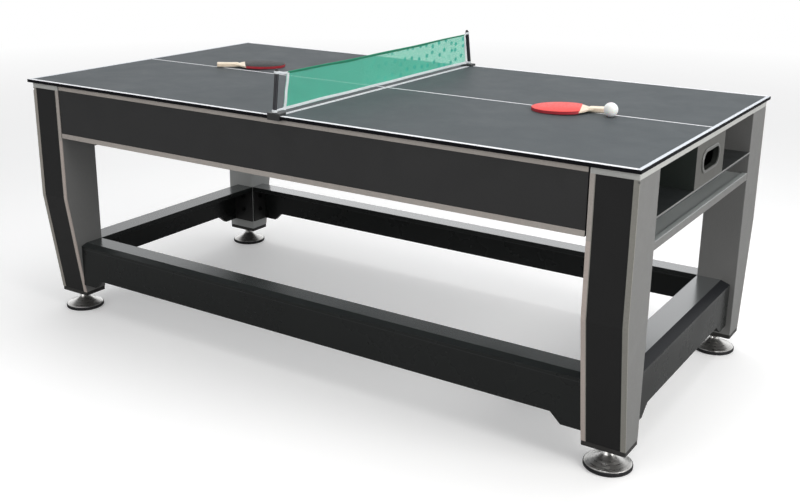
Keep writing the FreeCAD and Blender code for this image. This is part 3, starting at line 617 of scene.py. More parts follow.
# finish, CAD pieces that wear it
CAD_FINISHES = [
    (leg, "leg_front_left leg_front_right leg_rear_right"),
    (leg_rear_left, "leg_rear_left"),
    (inlay, "leg_inlays"),
    (trim, "leg_trims cabinet_trims"),
    (cap, "leg_end_caps"),
    (silver, "end_unit_top_left end_unit_top_right"),
    (pivot_box, "pivot_box_left pivot_box_right"),
    (upper_shelf, "upper_shelves"),
    (lower_shelf, "lower_shelves"),
    (rim, "hand_hole_rims"),
    (dark, "inner_panels"),
    (nylon, "pivot_bushes"),
    (stretcher, "stretcher_front stretcher_left"),
    (stretcher_polished_painted_light, "stretcher_rear stretcher_right"),
    (bracket, "stretcher_brackets"),
    (black_bolt, "stretcher_bolts"),
    (black, "cabinet_side_front cabinet_side_rear cabinet_end_left cabinet_end_right"),
    (raw_board, "pool_bed"),
    (cloth, "pool_cloth pool_cushions"),
    (rail, "pool_rails"),
    (black_plastic, "pocket_cups hockey_rails blower_housing"),
    (white_plastic, "bumper_posts"),
    (bumper_rubber, "bumper_rings"),
    (glide, "hockey_bed"),
    (grey_plastic, "goal_trays blower_impeller"),
    (zinc, "pivot_axles"),
    (knob, "lock_knob_left lock_knob_right"),
    (tennis, "tennis_top_left tennis_top_right"),
    (post, "net_post_front net_post_rear"),
]
for corner in CORNERS:
    CAD_FINISHES.append((foot_rubber, "foot_pad_" + corner))
    CAD_FINISHES.append((foot_metal[corner], "foot_" + corner))

for finish, pieces in CAD_FINISHES:
    for piece in pieces.split():
        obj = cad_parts[piece]
        if not obj.material_slots:
            obj.data.materials.append(finish)
        for material_slot in obj.material_slots:
            material_slot.material = finish


# ------------------------------------------------------------------ net, bat and ball finishes
def net_threads():
    """Fine knitted mesh: thin green threads with open holes; some light passes the threads."""
    pitch = 0.0021
    mat = Material.new("net_green_mesh")
    offset = (mat.noise(scale=55.0, detail=3, rough=0.5) - 0.5) * 0.0016
    along, up = mat.y + offset, mat.z + offset
    # closer knit in round spots, stronger towards the rear
    plane = mat.node("ShaderNodeCombineXYZ", {0: mat.y, 1: mat.z * 1.2})
    spots = mat.cells(25.0, randomness=0.7, vector=plane, voronoi_dimensions="2D")
    spot = spots.remap(over=(0.17, 0.24), to=(1, 0))
    spot = spot * mat.y.remap(over=(-0.15, 0.20), to=(0.05, 1))
    thread = 0.455 + spot * 0.33
    hole = ((along * (1 / pitch)).fract() > thread) * ((up * (1 / pitch)).fract() > thread)
    knit = mat.noise(scale=900.0, detail=3)
    color = knit.remap().mix(NET_DARK, NET_LIGHT)
    color = mat.noise(scale=9.0).remap(to=(0, 0.35)).mix(color, tone(NET_DARK, 0.86))
    # painted shade: the threads darken towards the front end of the net
    front = mat.y.remap(over=(-0.50, 0.05), to=(0.40, 0))
    color = front.mix(color, tone(NET_DARK, 0.72))
    color = (spot * 0.75).mix(color, (0.045, 0.50, 0.42))
    relief = along.pingpong(pitch / 2) + up.pingpong(pitch / 2)
    mat.surface(color, 0.62, mat.bump(relief * 400.0 + knit * 0.3, strength=0.35, depth=0.0004),
                specular=0.3, Sheen_Weight=0.2)
    threads = mat.translucent(mat.mix(0.5, color, NET_LIGHT), amount=0.38)
    return mat.show(mat.mix_shader(hole, threads, mat.node("ShaderNodeBsdfTransparent")))


def woven_tape(name, base, through):
    """Woven tape with a fine rib; `through` is the share of light it lets pass."""
    mat = Material.new(name)
    rib = mat.noise(scale=1500.0, detail=2, rough=0.5)
    weave = (mat.y + mat.z * 0.7).pingpong(0.0006)
    color = mat.noise(scale=30.0).remap().mix(tone(base, 0.90), base)
    color = rib.remap(over=(0.55, 0.75), to=(0, 0.4)).mix(color, tone(base, 0.8))
    mat.surface(color, 0.75, mat.bump(weave * 900.0 + rib * 0.5, strength=0.4, depth=0.0004),
                specular=0.3, Sheen_Weight=0.15)
    return mat.show(mat.translucent(color, through))


def bat_wood(name, handle=False):
    """Pale wood with grain along the handle: plies on the blade's edge, seams on the handle."""
    mat = Material.new(name)
    grain = mat.noise(scale=38.0, detail=6, rough=0.65, stretch=(0.22, 3.2, 1.0), distortion=0.6)
    pore = mat.noise(scale=420.0, detail=3, stretch=(0.12, 1.0, 1.0))
    color = grain.remap().mix((0.80, 0.67, 0.51), (0.92, 0.82, 0.68))
    color = pore.remap(over=(0.58, 0.72), to=(0, 0.35)).mix(color, (0.60, 0.46, 0.31))
    if handle:
        seam = abs(mat.z).near(0.0026, within=0.00016)
        color = (seam * 0.65).mix(color, (0.25, 0.15, 0.08))
        core = abs(mat.z) < 0.0026
        color = (core * 0.35).mix(color, (0.70, 0.45, 0.30))
    else:
        ply = (mat.z + 0.00052).pingpong(0.00104)
        dark_ply = (ply > 0.00072) * (abs(mat.z) < 0.0025)
        color = (dark_ply * 0.35).mix(color, (0.40, 0.26, 0.14))
    handled = mat.noise(scale=26.0).remap(over=(0.55, 0.75), to=(0, 0.12))
    return mat.surface(
        handled.mix(color, (0.60, 0.47, 0.33)), grain.remap(to=(0.42, 0.55)),
        mat.bump(grain + pore * 0.6, strength=0.22, depth=0.0004, bevel=0.0008), specular=0.45)


def bat_rubber(name, base, rough, specular):
    """Smooth rubber sheet with faint ball marks and a darker layer below it."""
    mat = Material.new(name)
    dust = mat.noise(scale=150.0)
    color = mat.noise(scale=12.0).remap().mix(tone(base, 0.93), tone(base, 1.05))
    pimples = mat.cells(560.0, randomness=0.0)
    mark = mat.cells(38.0).remap(over=(0.10, 0.16), to=(0.5, 0))
    color = (mark * 0.10).mix(color, tone(base, 1.3, lift=0.02))
    below = abs(mat.z) < 0.0034
    color = (below * 0.5).mix(color, tone(base, 0.6))
    return mat.surface(
        color, dust.remap(to=(rough - 0.05, rough + 0.1)),
        mat.bump(dust * 0.5 + pimples * 120.0, strength=0.10, depth=0.0003), specular=specular)


def ball_celluloid():
    """White shell with a faint seam and light scuffs."""
    mat = Material.new("ball_white_celluloid")
    fine = mat.noise(scale=900.0, detail=2, rough=0.5)
    color = mat.noise(scale=45.0).remap().mix((0.84, 0.838, 0.82), (0.90, 0.898, 0.88))
    seam = mat.z.near(0.0, within=0.00022)
    color = (seam * 0.35).mix(color, (0.55, 0.54, 0.50))
    scuff = mat.noise(scale=160.0, detail=5, rough=0.7, distortion=0.5)
    color = scuff.remap(over=(0.62, 0.72), to=(0, 0.3)).mix(color, (0.62, 0.61, 0.58))
    return mat.surface(
        color, fine.remap(to=(0.40, 0.52)), mat.bump(fine, strength=0.06, depth=0.0002),
        Subsurface_Weight=0.15, Subsurface_Scale=0.006)


net_mesh_green = net_threads()
hem_tape = woven_tape("net_hem_green", HEM_GREEN, through=0.2)
white_tape = woven_tape("net_white_tape", TAPE_WHITE, through=0.22)
blade_wood = bat_wood("bat_plywood")
handle_wood = bat_wood("bat_handle_wood", handle=True)
red_rubber = bat_rubber("bat_red_rubber", BAT_RED, rough=0.42, specular=0.22)
black_rubber = bat_rubber("bat_black_rubber", BAT_BLACK, rough=0.46, specular=0.10)
edge_tape = rubber("bat_edge_tape_red", (0.35, 0.020, 0.032), rough=0.5)
ball_white = ball_celluloid()


# ------------------------------------------------------------------ mesh helpers
def build(name, mesh, material, slot, body=None, replaces=(), sharp=None, matrix=None):
    """An object from (vertices in mm, faces); edges sharper than `sharp` degrees stay crisp."""
    verts, faces = mesh
    data = bpy.data.meshes.new(name)
    data.from_pydata([tuple(float(c) * MM for c in vert) for vert in verts], [], faces)
    data.validate()
    bm = bmesh.new()
    bm.from_mesh(data)
    bmesh.ops.remove_doubles(bm, verts=bm.verts, dist=1e-7)
    bmesh.ops.recalc_face_normals(bm, faces=bm.faces)
    bm.to_mesh(data)
    bm.free()
    for polygon in data.polygons:
        polygon.use_smooth = True
    obj = bpy.data.objects.new(name, data)
    SCENE.collection.objects.link(obj)
    data.materials.append(material)
    if sharp:
        mark_sharp(data, sharp)
    if matrix:
        obj.matrix_world = matrix
    if body:
        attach(obj, body)
    if replaces:
        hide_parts(*replaces)
    return obj


def mark_sharp(data, degrees):
    bm = bmesh.new()
    bm.from_mesh(data)
    for edge in bm.edges:
        if len(edge.link_faces) == 2:
            edge.smooth = edge.calc_face_angle(0.0) < math.radians(degrees)
    bm.to_mesh(data)
    bm.free()


def angles(count):
    return [2 * math.pi * k / count for k in range(count)]


def skin(rings, loop=False):
    """A mesh through rings of points. A ring of one point is a pole.

    With loop the last ring joins the first, otherwise open ends are capped.
    """
    verts, faces, indices = [], [], []
    for ring in rings:
        indices.append(range(len(verts), len(verts) + len(ring)))
        verts += ring
    pairs = list(zip(indices, indices[1:]))
    if loop:
        pairs.append((indices[-1], indices[0]))
    for low, high in pairs:
        count = max(len(low), len(high))
        for k in range(count):
            after = (k + 1) % count
            if len(low) == 1:
                faces.append((low[0], high[after], high[k]))
            elif len(high) == 1:
                faces.append((low[k], low[after], high[0]))
            else:
                faces.append((low[k], low[after], high[after], high[k]))
    if not loop and len(indices[0]) > 1:
        faces.append(tuple(reversed(indices[0])))
    if not loop and len(indices[-1]) > 1:
        faces.append(tuple(indices[-1]))
    return verts, faces


def lathe(profile, centres, segments, loop=False):
    """Turn a profile of (radius, z) about each centre (x, y)."""
    verts, faces = [], []
    for cx, cy in centres:
        rings = []
        for radius, z in profile:
            turns = angles(segments) if radius else [0.0]
            rings.append([(cx + radius * math.cos(a), cy + radius * math.sin(a), z)
                          for a in turns])
        part_verts, part_faces = skin(rings, loop)
        faces += [tuple(i + len(verts) for i in face) for face in part_faces]
        verts += part_verts
    return verts, faces


def spline(points, steps):
    """Catmull-Rom curve through the points, with `steps` samples per span."""
    pts = [np.array(point, float) for point in points]
    pts = [2 * pts[0] - pts[1]] + pts + [2 * pts[-1] - pts[-2]]
    curve = []
    for a, b, c, d in zip(pts, pts[1:], pts[2:], pts[3:]):
        for k in range(steps):
            t = k / steps
            curve.append(0.5 * ((2 * b) + (-a + c) * t + (2 * a - 5 * b + 4 * c - d) * t * t
                                + (-a + 3 * b - 3 * c + d) * t ** 3))
    curve.append(pts[-2])
    return curve


def rounded_rect(width, height, radius):
    """Centred rounded rectangle with two segments per corner."""
    section = []
    for sx, sy, start in ((1, 1, 0), (-1, 1, 90), (-1, -1, 180), (1, -1, 270)):
        cx, cy = sx * (width / 2 - radius), sy * (height / 2 - radius)
        for k in range(3):
            a = math.radians(start + 45 * k)
            section.append((cx + radius * math.cos(a), cy + radius * math.sin(a)))
    return section


def sweep(path, section, up=(0, 0, 1)):
    """Carry a closed section of (side, up) along a path."""
    path = [np.array(point, float) for point in path]
    rings = []
    for i, point in enumerate(path):
        along = path[min(i + 1, len(path) - 1)] - path[max(i - 1, 0)]
        along /= np.linalg.norm(along)
        side = np.cross(along, up)
        side /= np.linalg.norm(side)
        lift = np.cross(side, along)
        rings.append([point + side * a + lift * b for a, b in section])
    return skin(rings)


def strap(path, width, thickness, wide_along):
    """A flat strap along a path, its width set along one direction."""
    flat = rounded_rect(width, thickness, min(width, thickness) * 0.42)
    return sweep(path, [(thick, wide) for wide, thick in flat], up=wide_along)


# ------------------------------------------------------------------ net
NET_X = -7.0
NET_FOOT, NET_TOP = 821.0, 927.5
NET_FRONT = (-513.0, -494.0)       # y of the front end at the foot and at the top
NET_REAR = (531.0, 515.0)          # y of the rear end at the foot and at the top
NET_SAG = 2.2
NET_COLUMNS, NET_ROWS = 300, 22
HALF_THREAD = 0.06


def net_point(u, v):
    """Middle surface of the tensioned net; u runs front to rear, v runs up. x is from NET_X."""
    sag = NET_SAG * math.sin(math.pi * u)
    z = NET_FOOT + 1.0 + v * (NET_TOP - NET_FOOT - 2.0 - sag)
    front = NET_FRONT[0] + (NET_FRONT[1] - NET_FRONT[0]) * v
    rear = NET_REAR[0] + (NET_REAR[1] - NET_REAR[0]) * v
    y = front + (rear - front) * u
    belly = math.sin(math.pi * v)
    x = 1.5 * math.sin(7.0 * u + 1.2 * v) * belly
    x += 0.9 * math.sin(23.0 * u + 3.0 * v) * v * (1 - v)
    # pull creases that fan out from the two ends
    for end, weight in ((0.0, 1.0), (1.0, 0.7)):
        away = abs(u - end) * 10.0
        x += weight * 1.3 * math.exp(-away * 1.1) * math.sin(9.0 * (v + away * 0.55)) * belly
    return x, y, z


def net_path(v, steps, ends, lift, wobble, seed):
    """A line along the net at height v, with a slight random waviness in z."""
    random = np.random.RandomState(seed)
    waves = [(random.uniform(5, 30), random.uniform(0, 6.3), random.uniform(0.4, 1.0))
             for _ in range(4)]
    path = []
    for i in range(steps + 1):
        u = ends[0] + (ends[1] - ends[0]) * i / steps
        x, y, z = net_point(u, v)
        wave = sum(size * math.sin(rate * u + phase) for rate, phase, size in waves) * wobble
        path.append((NET_X + x, y, z + lift + wave))
    return path


def net_sheet():
    """Two close sheets of quads joined round their border."""
    column = NET_ROWS + 1
    back = (NET_COLUMNS + 1) * column
    last = NET_COLUMNS * column
    verts, faces = [], []
    for side in (-1, 1):
        for i in range(NET_COLUMNS + 1):
            for j in range(column):
                x, y, z = net_point(i / NET_COLUMNS, j / NET_ROWS)
                verts.append((NET_X + x + side * HALF_THREAD, y, z))

    def wall(a, b):
        faces.append((a, back + a, back + b, b))

    for i in range(NET_COLUMNS):
        for j in range(NET_ROWS):
            a, b = i * column + j, (i + 1) * column + j
            faces.append((a, b, b + 1, a + 1))
            faces.append((back + a + 1, back + b + 1, back + b, back + a))
    for i in range(NET_COLUMNS):
        for row in (0, NET_ROWS):
            wall(i * column + row, (i + 1) * column + row)
    for j in range(NET_ROWS):
        for start in (0, last):
            wall(start + j, start + j + 1)
    return verts, faces


# fullness of the hem at places along the net: (u, scale)
HEM_FULLNESS = [(0.0, 1.05), (0.06, 1.35), (0.18, 1.20), (0.30, 1.55), (0.36, 1.25),
                (0.50, 1.40), (0.70, 1.30), (0.85, 0.95), (1.0, 0.85)]
HEM_HALF_WIDTH, HEM_HALF_HEIGHT = 1.7, 2.5


def net_hem():
    """A thick soft roll with a narrower fold hanging under it."""
    section = []
    for a in angles(14):
        fold = math.sin(a) < -0.2
        section.append((HEM_HALF_WIDTH * math.cos(a) * (0.75 if fold else 1.0),
                        HEM_HALF_HEIGHT * math.sin(a) - (0.6 if fold else 0)))
    path = net_path(1.0, steps=220, ends=(0.004, 0.996), lift=-1.4, wobble=0.25, seed=3)
    rings = []
    for i, (x, y, z) in enumerate(path):
        full = float(np.interp(i / (len(path) - 1), *zip(*HEM_FULLNESS)))
        # the top of the roll stays level, the fold hangs lower where it is thick
        rings.append([(x + side, y, z + (up - HEM_HALF_HEIGHT) * full + HEM_HALF_HEIGHT)
                      for side, up in section])
    return skin(rings)


FABRIC = dict(slot="net_fabric")
build("net_mesh", net_sheet(), net_mesh_green, body="tennis_top", replaces=("net",), **FABRIC)
build("net_top_hem", net_hem(), hem_tape, body="tennis_top", sharp=50, **FABRIC)
bottom_path = net_path(0.0, steps=200, ends=(0.0, 1.0), lift=4.6, wobble=0.35, seed=5)
build("net_bottom_tape", sweep(bottom_path, rounded_rect(2.0, 8.0, radius=0.8)), white_tape,
      body="tennis_top", sharp=40, **FABRIC)

NET_ENDS = (("front", -1, 0.0), ("rear", 1, 1.0))       # name, sign of y, u of the net end
for name, sign, u in NET_ENDS:
    path = []
    for j in range(25):
        x, y, z = net_point(u, j / 24)
        overhang = {0: -0.4, 24: 0.5}.get(j, 0)
        path.append((NET_X + x, y - sign * 7.0, z + overhang))
    build("net_end_tape_" + name, strap(path, width=11.0, thickness=2.3, wide_along=(0, 1, 0)),
          white_tape, body="tennis_top", sharp=45, **FABRIC)

POST_Y, POST_FOOT, POST_TOP = 550.0, 818.0, 935.0
POST_LEAN = {-1: 14.0, 1: 24.0}        # inward lean at the top, by sign of y
LOOP_BORE, LOOP_RADIUS = 6.45, 7.6


def post_point(sign, z):
    """Axis of the leaning post on the side y = sign."""
    lean = POST_LEAN[sign] * (z - POST_FOOT) / (POST_TOP - POST_FOOT)
    return np.array((NET_X, sign * (POST_Y - lean), z))


def post_loop(sign, z, height):
    """A woven loop of tape round the post."""
    centre = post_point(sign, z)
    axis = post_point(sign, z + 10) - centre
    axis /= np.linalg.norm(axis)
    side = np.array((1.0, 0, 0))
    other = np.cross(axis, side)
    half, outer = height / 2, LOOP_RADIUS
    profile = [(LOOP_BORE, -half), (outer - 0.3, -half), (outer, -half + 0.5), (outer + 0.12, 0),
               (outer, half - 0.5), (outer - 0.3, half), (LOOP_BORE, half)]
    rings = []
    for a in angles(40):
        out = side * math.cos(a) + other * math.sin(a)
        swell = 1 + 0.02 * math.sin(3 * a + z)
        rings.append([centre + out * (r if r == LOOP_BORE else r * swell)
                      + axis * (along + 0.3 * math.sin(2 * a)) for r, along in profile])
    return skin(rings, loop=True)


def net_tie(name, sign, u, v, post_z, width, droop):
    """A strap from the net's end to the loop on the post."""
    at_post = post_point(sign, post_z) + np.array((0, -sign * 6.6, 0))
    x, y, z = net_point(u, v)
    at_net = np.array((NET_X + x, y - sign * 4.0, z))
    middle = (at_post + at_net) / 2 + np.array((0.6, 0, droop))
    path = spline([at_post, middle, at_net], steps=8)
    return build(name, strap(path, width, thickness=1.5, wide_along=(0, 0, 1)), white_tape,
                 sharp=45, **FABRIC), at_net, at_post


TIES = {"top": dict(v=0.975, post_z=930.0, width=6.5, droop=-1.2),
        "low": dict(v=0.035, post_z=825.0, width=6.0, droop=1.0)}
for name, sign, u in NET_ENDS:
    for level, z, height in (("top", 930.5, 7.0), ("low", 824.8, 7.5)):
        build("net_loop_%s_%s" % (level, name), post_loop(sign, z, height), white_tape,
              body="net_post_" + name, sharp=45, **FABRIC)
    for level, shape in TIES.items():
        tie, at_net, at_post = net_tie("net_tie_%s_%s" % (level, name), sign, u, **shape)
        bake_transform(tie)

# ------------------------------------------------------------------ bats
# A bat lies along its own X, from the far end of the blade at 0 to the butt at 238.
HALF_GRIP, HALF_CORE, HALF_BLADE = 8.0, 2.6, 4.4     # half thicknesses; HALF_BLADE has rubbers
RUBBER_END = 140.0
BAT_REST_Z = 813.25
# half of the blade's outline: (x, half width)
HALF_OUTLINE = [
    (3.5, 19.0), (12.0, 37.0), (26.0, 53.0), (45.0, 65.0), (68.0, 71.8), (90.0, 73.0),
    (110.0, 70.5), (126.0, 64.5), (138.0, 56.5), (147.0, 46.5), (154.5, 35.5), (161.0, 25.5),
    (168.0, 18.0), (176.0, 14.0)]
# counter-clockwise, from the throat round the blade and back
OUTLINE = [tuple(point) for point in spline(
    HALF_OUTLINE[::-1] + [(0.0, 0.0)] + [(x, -y) for x, y in HALF_OUTLINE], steps=6)]
HANDLE_START, HANDLE_END = 158.5, 237.6
# half width of the handle: (x, half width)
HANDLE_WIDTHS = [(158.5, 13.0), (164, 13.5), (176, 12.9), (192, 12.2), (208, 12.5),
                 (222, 13.7), (233, 14.9), (237.6, 14.4)]


def outset(points, distance):
    """Move a counter-clockwise outline outwards, or inwards for a negative distance."""
    moved = []
    for i, point in enumerate(points):
        before, here = np.array(points[i - 1]), np.array(point)
        after = np.array(points[(i + 1) % len(points)])
        tangent = sum(step / max(1e-9, np.linalg.norm(step))
                      for step in (here - before, after - here))
        tangent /= max(1e-9, np.linalg.norm(tangent))
        moved.append(tuple(here + distance * np.array((tangent[1], -tangent[0]))))
    return moved


def cut_at(points, x_end):
    """The part of an outline below x_end, closed by a straight cut."""
    kept = []
    for i, (x, y) in enumerate(points):
        px, py = points[i - 1]
        if (x < x_end) != (px < x_end) and abs(x - px) > 1e-9:
            kept.append((x_end, py + (x_end - px) / (x - px) * (y - py)))
        if x < x_end:
            kept.append((x, y))
    return kept


def slab(layers):
    """A stack of outlines: (points, z)."""
    return skin([[(x, y, z) for x, y in points] for points, z in layers])


def blade():
    inner = outset(OUTLINE, -0.5)
    return slab([(inner, -HALF_CORE), (OUTLINE, -HALF_CORE + 0.5),
                 (OUTLINE, HALF_CORE - 0.5), (inner, HALF_CORE)])


def rubber_sheet(side):
    """The rubber on the +Z or -Z side of the blade."""
    sheet = cut_at(outset(OUTLINE, -0.35), RUBBER_END)
    foot, top = side * (HALF_CORE + 0.01), side * HALF_BLADE
    layers = [(sheet, foot), (sheet, top - side * 0.35),
              (outset(sheet, -0.15), top - side * 0.12), (outset(sheet, -0.45), top)]
    return slab(layers[::side])


def bat_edge_tape():
    """A thin band round the rim from throat to throat."""
    rim_points = [np.array(point) for point in OUTLINE if point[0] < RUBBER_END - 1.0]
    half = HALF_BLADE - 0.25
    rings = []
    for i, point in enumerate(rim_points):
        along = rim_points[min(i + 1, len(rim_points) - 1)] - rim_points[max(i - 1, 0)]
        along /= np.linalg.norm(along)
        out = np.array((along[1], -along[0]))
        inner, outer = point + out * 0.02, point + out * 0.45
        rings.append([(*inner, -half), (*outer, -half + 0.15), (*outer, half - 0.15),
                      (*inner, half)])
    return skin(rings)


def bat_handle():
    """Rounded handle that rises from the blade, narrows at its waist and flares at the butt."""
    stations = [(158.3, 12.2, 2.65)]       # x, half width, half thickness
    for i in range(33):
        f = i / 32
        x = HANDLE_START + (HANDLE_END - HANDLE_START) * f
        rise = math.sin(min(1.0, (x - HANDLE_START) / 10.0) * math.pi / 2) ** 0.8
        thick = 2.75 + (HALF_GRIP - 2.75) * rise
        thick *= 1.0 - 0.05 * math.exp(-((x - 196) / 22.0) ** 2)
        if f > 0.97:
            thick -= 0.8
        stations.append((x, float(np.interp(x, *zip(*HANDLE_WIDTHS))), thick))
    stations.append((238.0, 13.2, HALF_GRIP - 2.0))

    def squared(value):
        """Swells a circle's coordinate towards a rounded square."""
        return math.copysign(abs(value) ** 0.52, value)

    return skin([[(x, wide * squared(math.cos(a)), thick * squared(math.sin(a)))
                  for a in angles(28)] for x, wide, thick in stations])


def bat(side, x, y, heading, flip):
    """A bat resting on its blade and its butt; flip turns the black rubber up."""
    tilt = math.atan2(HALF_GRIP - HALF_BLADE, 162.0)
    matrix = (Matrix.Translation((x * MM, y * MM, BAT_REST_Z * MM))
              @ Matrix.Rotation(math.radians(heading), 4, "Z")
              @ Matrix.Rotation(-tilt, 4, "Y") @ Matrix.Translation((0, 0, HALF_BLADE * MM)))
    if flip:
        matrix = matrix @ Matrix.Rotation(math.pi, 4, "X")
    # part, mesh, material, slot, CAD piece it replaces, sharp angle
    parts = [
        ("blade", blade(), blade_wood, "bat_wood", ("paddle_" + side,), 40),
        ("rubber_red", rubber_sheet(1), red_rubber, "bat_rubber", ("paddle_rubber_" + side,), 50),
        ("rubber_black", rubber_sheet(-1), black_rubber, "bat_rubber", (), 50),
        ("edge_tape", bat_edge_tape(), edge_tape, "bat_rubber", (), 50),
        ("handle", bat_handle(), handle_wood, "bat_wood", (), 42),
    ]
    for part, mesh, material, slot, replaces, sharp in parts:
        build("bat_%s_%s" % (side, part), mesh, material, slot, body="paddle_" + side,
              replaces=replaces, sharp=sharp, matrix=matrix)


bat("right", x=531.0, y=-52.0, heading=19.0, flip=False)
bat("left", x=-529.0, y=149.0, heading=222.0, flip=True)

# ------------------------------------------------------------------ ball
BALL_RADIUS, BALL_STEPS = 20.0, 64
SEAM_DEPTH = 0.09


def ball_profile():
    """Half circle from pole to pole, with a slight groove at the equator."""
    profile = []
    for i in range(BALL_STEPS + 1):
        a = -math.pi / 2 + math.pi * i / BALL_STEPS
        radius = BALL_RADIUS - (SEAM_DEPTH if i == BALL_STEPS // 2 else 0.0)
        at_pole = i in (0, BALL_STEPS)
        profile.append((0.0 if at_pole else radius * math.cos(a), radius * math.sin(a)))
    return profile


BALL_LOW, BALL_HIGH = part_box("ball")
build("ball_shell", lathe(ball_profile(), [(0, 0)], segments=96), ball_white, "ball_plastic",
      body="ball", replaces=("ball",),
      matrix=(Matrix.Translation((BALL_LOW + BALL_HIGH) / 2)
              @ Matrix.Rotation(math.radians(63), 4, (0.6, 0.75, 0.2))))

# ------------------------------------------------------------------ levelling feet
# metal disc, domed towards the stud: (radius, z)
DOME = [
    (0, 9.45), (59.5, 9.45), (60.9, 9.9), (61.5, 10.8), (61.4, 12.2), (60.2, 13.4), (58.2, 14.3),
    (53.0, 16.2), (46.0, 18.9), (39.0, 22.1), (33.0, 25.5), (27.5, 29.0), (23.0, 32.6),
    (19.6, 36.0), (17.2, 39.2), (15.8, 42.0), (15.2, 43.6), (14.6, 44.6), (13.4, 45.0),
    (9.0, 45.1)]
# rubber pad under the disc: (radius, z)
PAD = [
    (0, 0.0), (56.0, 0.0), (60.5, 0.3), (62.6, 1.2), (63.7, 2.6), (63.9, 4.2), (63.3, 4.8),
    (63.3, 5.3), (63.9, 5.9), (63.9, 8.4), (63.5, 10.4), (62.9, 11.3), (62.2, 11.4),
    (61.8, 10.9), (61.7, 9.35), (0, 9.35)]
THREAD_FOOT, THREAD_PITCH, THREAD_TURNS = 45.2, 1.25, 11
STUD_TOP = [(6.4, 59.0), (6.4, 108.5), (5.2, 110.3), (0, 110.3)]
HEX_HALF_WIDTH = 12.1
# lock nut, from its lower bore edge round to its upper one: (largest radius, z)
NUT = [(7.15, 47.5), (12.3, 47.5), (math.inf, 48.7), (math.inf, 55.3), (12.3, 56.5),
       (7.15, 56.5)]


def foot_profile():
    """One turned solid: the disc, then the threaded stud above it."""
    profile = DOME + [(7.0, 45.15)]
    for turn in range(THREAD_TURNS):
        z = THREAD_FOOT + THREAD_PITCH * turn
        profile += [(6.25, z), (6.95, z + 0.5), (6.95, z + 0.75)]
    return profile + STUD_TOP


def lock_nut(centre):
    """Hexagon nut with chamfered corners."""
    rings = []
    for limit, z in NUT:
        ring = []
        for a in angles(72):
            hexagon = HEX_HALF_WIDTH / math.cos((a % (math.pi / 3)) - math.pi / 6)
            radius = min(hexagon, limit)
            ring.append((centre[0] + radius * math.cos(a), centre[1] + radius * math.sin(a), z))
        rings.append(ring)
    return skin(rings, loop=True)


for corner in CORNERS:
    low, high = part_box("foot_pad_" + corner)
    centre = ((low.x + high.x) / 2 / MM, (low.y + high.y) / 2 / MM)
    body = "foot_" + corner
    build("foot_disc_" + corner, lathe(foot_profile(), [centre], segments=128),
          foot_metal[corner], "brushed_foot", body=body, replaces=(body,), sharp=38)
    build("foot_rubber_" + corner, lathe(PAD, [centre], segments=128), foot_rubber,
          "black_rubber", body=body, replaces=("foot_pad_" + corner,), sharp=38)
    build("foot_nut_" + corner, lock_nut(centre), zinc, "zinc_steel", body=body, sharp=30)

# ------------------------------------------------------------------ pool cushions
CUSHION_Z = 758.0
POOL_HALF_LENGTH, POOL_HALF_WIDTH = 846.0, 468.5
CUSHION_STEPS = 90
# cushion section: (distance inwards from the rail, height above CUSHION_Z)
CUSHION = [
    (0.0, 38.6), (6.0, 38.2), (7.0, 37.5), (8.0, 38.0), (14.0, 37.0), (22.0, 35.9), (26.5, 35.1),
    (28.6, 34.2), (29.7, 33.0), (29.9, 31.9), (29.3, 30.6), (27.6, 29.5), (24.0, 27.7),
    (17.0, 22.0), (10.0, 16.2), (4.0, 11.3), (0.0, 8.2)]


def cushion(along_x, sign):
    """A mitred cushion on the side given by sign, with a slight ripple in its cloth."""
    half_run, base = POOL_HALF_LENGTH, POOL_HALF_WIDTH
    if not along_x:
        half_run, base = base, half_run
    half_run, base = half_run - 0.6, base - 0.05
    rings = []
    for i in range(CUSHION_STEPS + 1):
        t = -1 + 2 * i / CUSHION_STEPS
        ring = []
        for inward, height in CUSHION:
            ripple = 0.22 * math.sin(t * 17.0 + inward * 0.2) if 8 < inward < 29 else 0
            along, across = t * (half_run - inward - 0.5), sign * (base - inward)
            x, y = (along, across) if along_x else (across, along)
            ring.append((x, y, CUSHION_Z + height + ripple))
        rings.append(ring)
    return skin(rings)


for name, along_x, sign, replaces in (
        ("front", True, -1, ()), ("rear", True, 1, ()),
        ("left", False, -1, ()), ("right", False, 1, ("pool_cushions",))):
    build("cushion_" + name, cushion(along_x, sign), cloth, "green_cloth", body="cabinet",
          replaces=replaces, sharp=48)

# ------------------------------------------------------------------ bumpers
# centres: a cross in the middle and a pair near each end
BUMPERS = ([(d, 0) for d in (-150, -80, 80, 150)] + [(0, d) for d in (-150, -80, 80, 150)]
           + [(sx * 752, sy * 92) for sx in (-1, 1) for sy in (-1, 1)])
# rubber ring, a closed section: (radius, z)
BUMPER_RING = [
    (7.2, 765.2), (12.0, 764.6), (19.5, 764.3), (22.0, 765.0), (24.0, 766.8), (24.9, 769.2),
    (25.0, 772.6), (24.3, 773.4), (24.3, 775.6), (25.0, 776.4), (24.9, 779.8), (24.0, 782.4),
    (22.0, 784.2), (19.5, 784.8), (12.0, 784.9), (7.2, 784.6)]
# stem with its cap: (radius, z)
BUMPER_STEM = [
    (0, 740.2), (7.0, 740.2), (7.9, 741.0), (7.9, 741.9), (4.0, 741.95), (4.0, 758.1),
    (7.0, 758.2), (7.0, 785.8), (15.8, 786.1), (16.9, 786.8), (17.0, 788.2), (16.3, 789.6),
    (14.6, 790.9), (12.0, 791.6), (5.6, 791.9), (5.2, 791.2), (4.8, 790.2), (3.6, 790.0),
    (0, 790.0)]
build("bumper_rubbers", lathe(BUMPER_RING, BUMPERS, segments=64, loop=True), bumper_rubber,
      "bumper_rubber", body="cabinet", replaces=("bumper_rings",), sharp=40)
build("bumper_stems", lathe(BUMPER_STEM, BUMPERS, segments=64), white_plastic,
      "white_plastic", body="cabinet", replaces=("bumper_posts",), sharp=40)

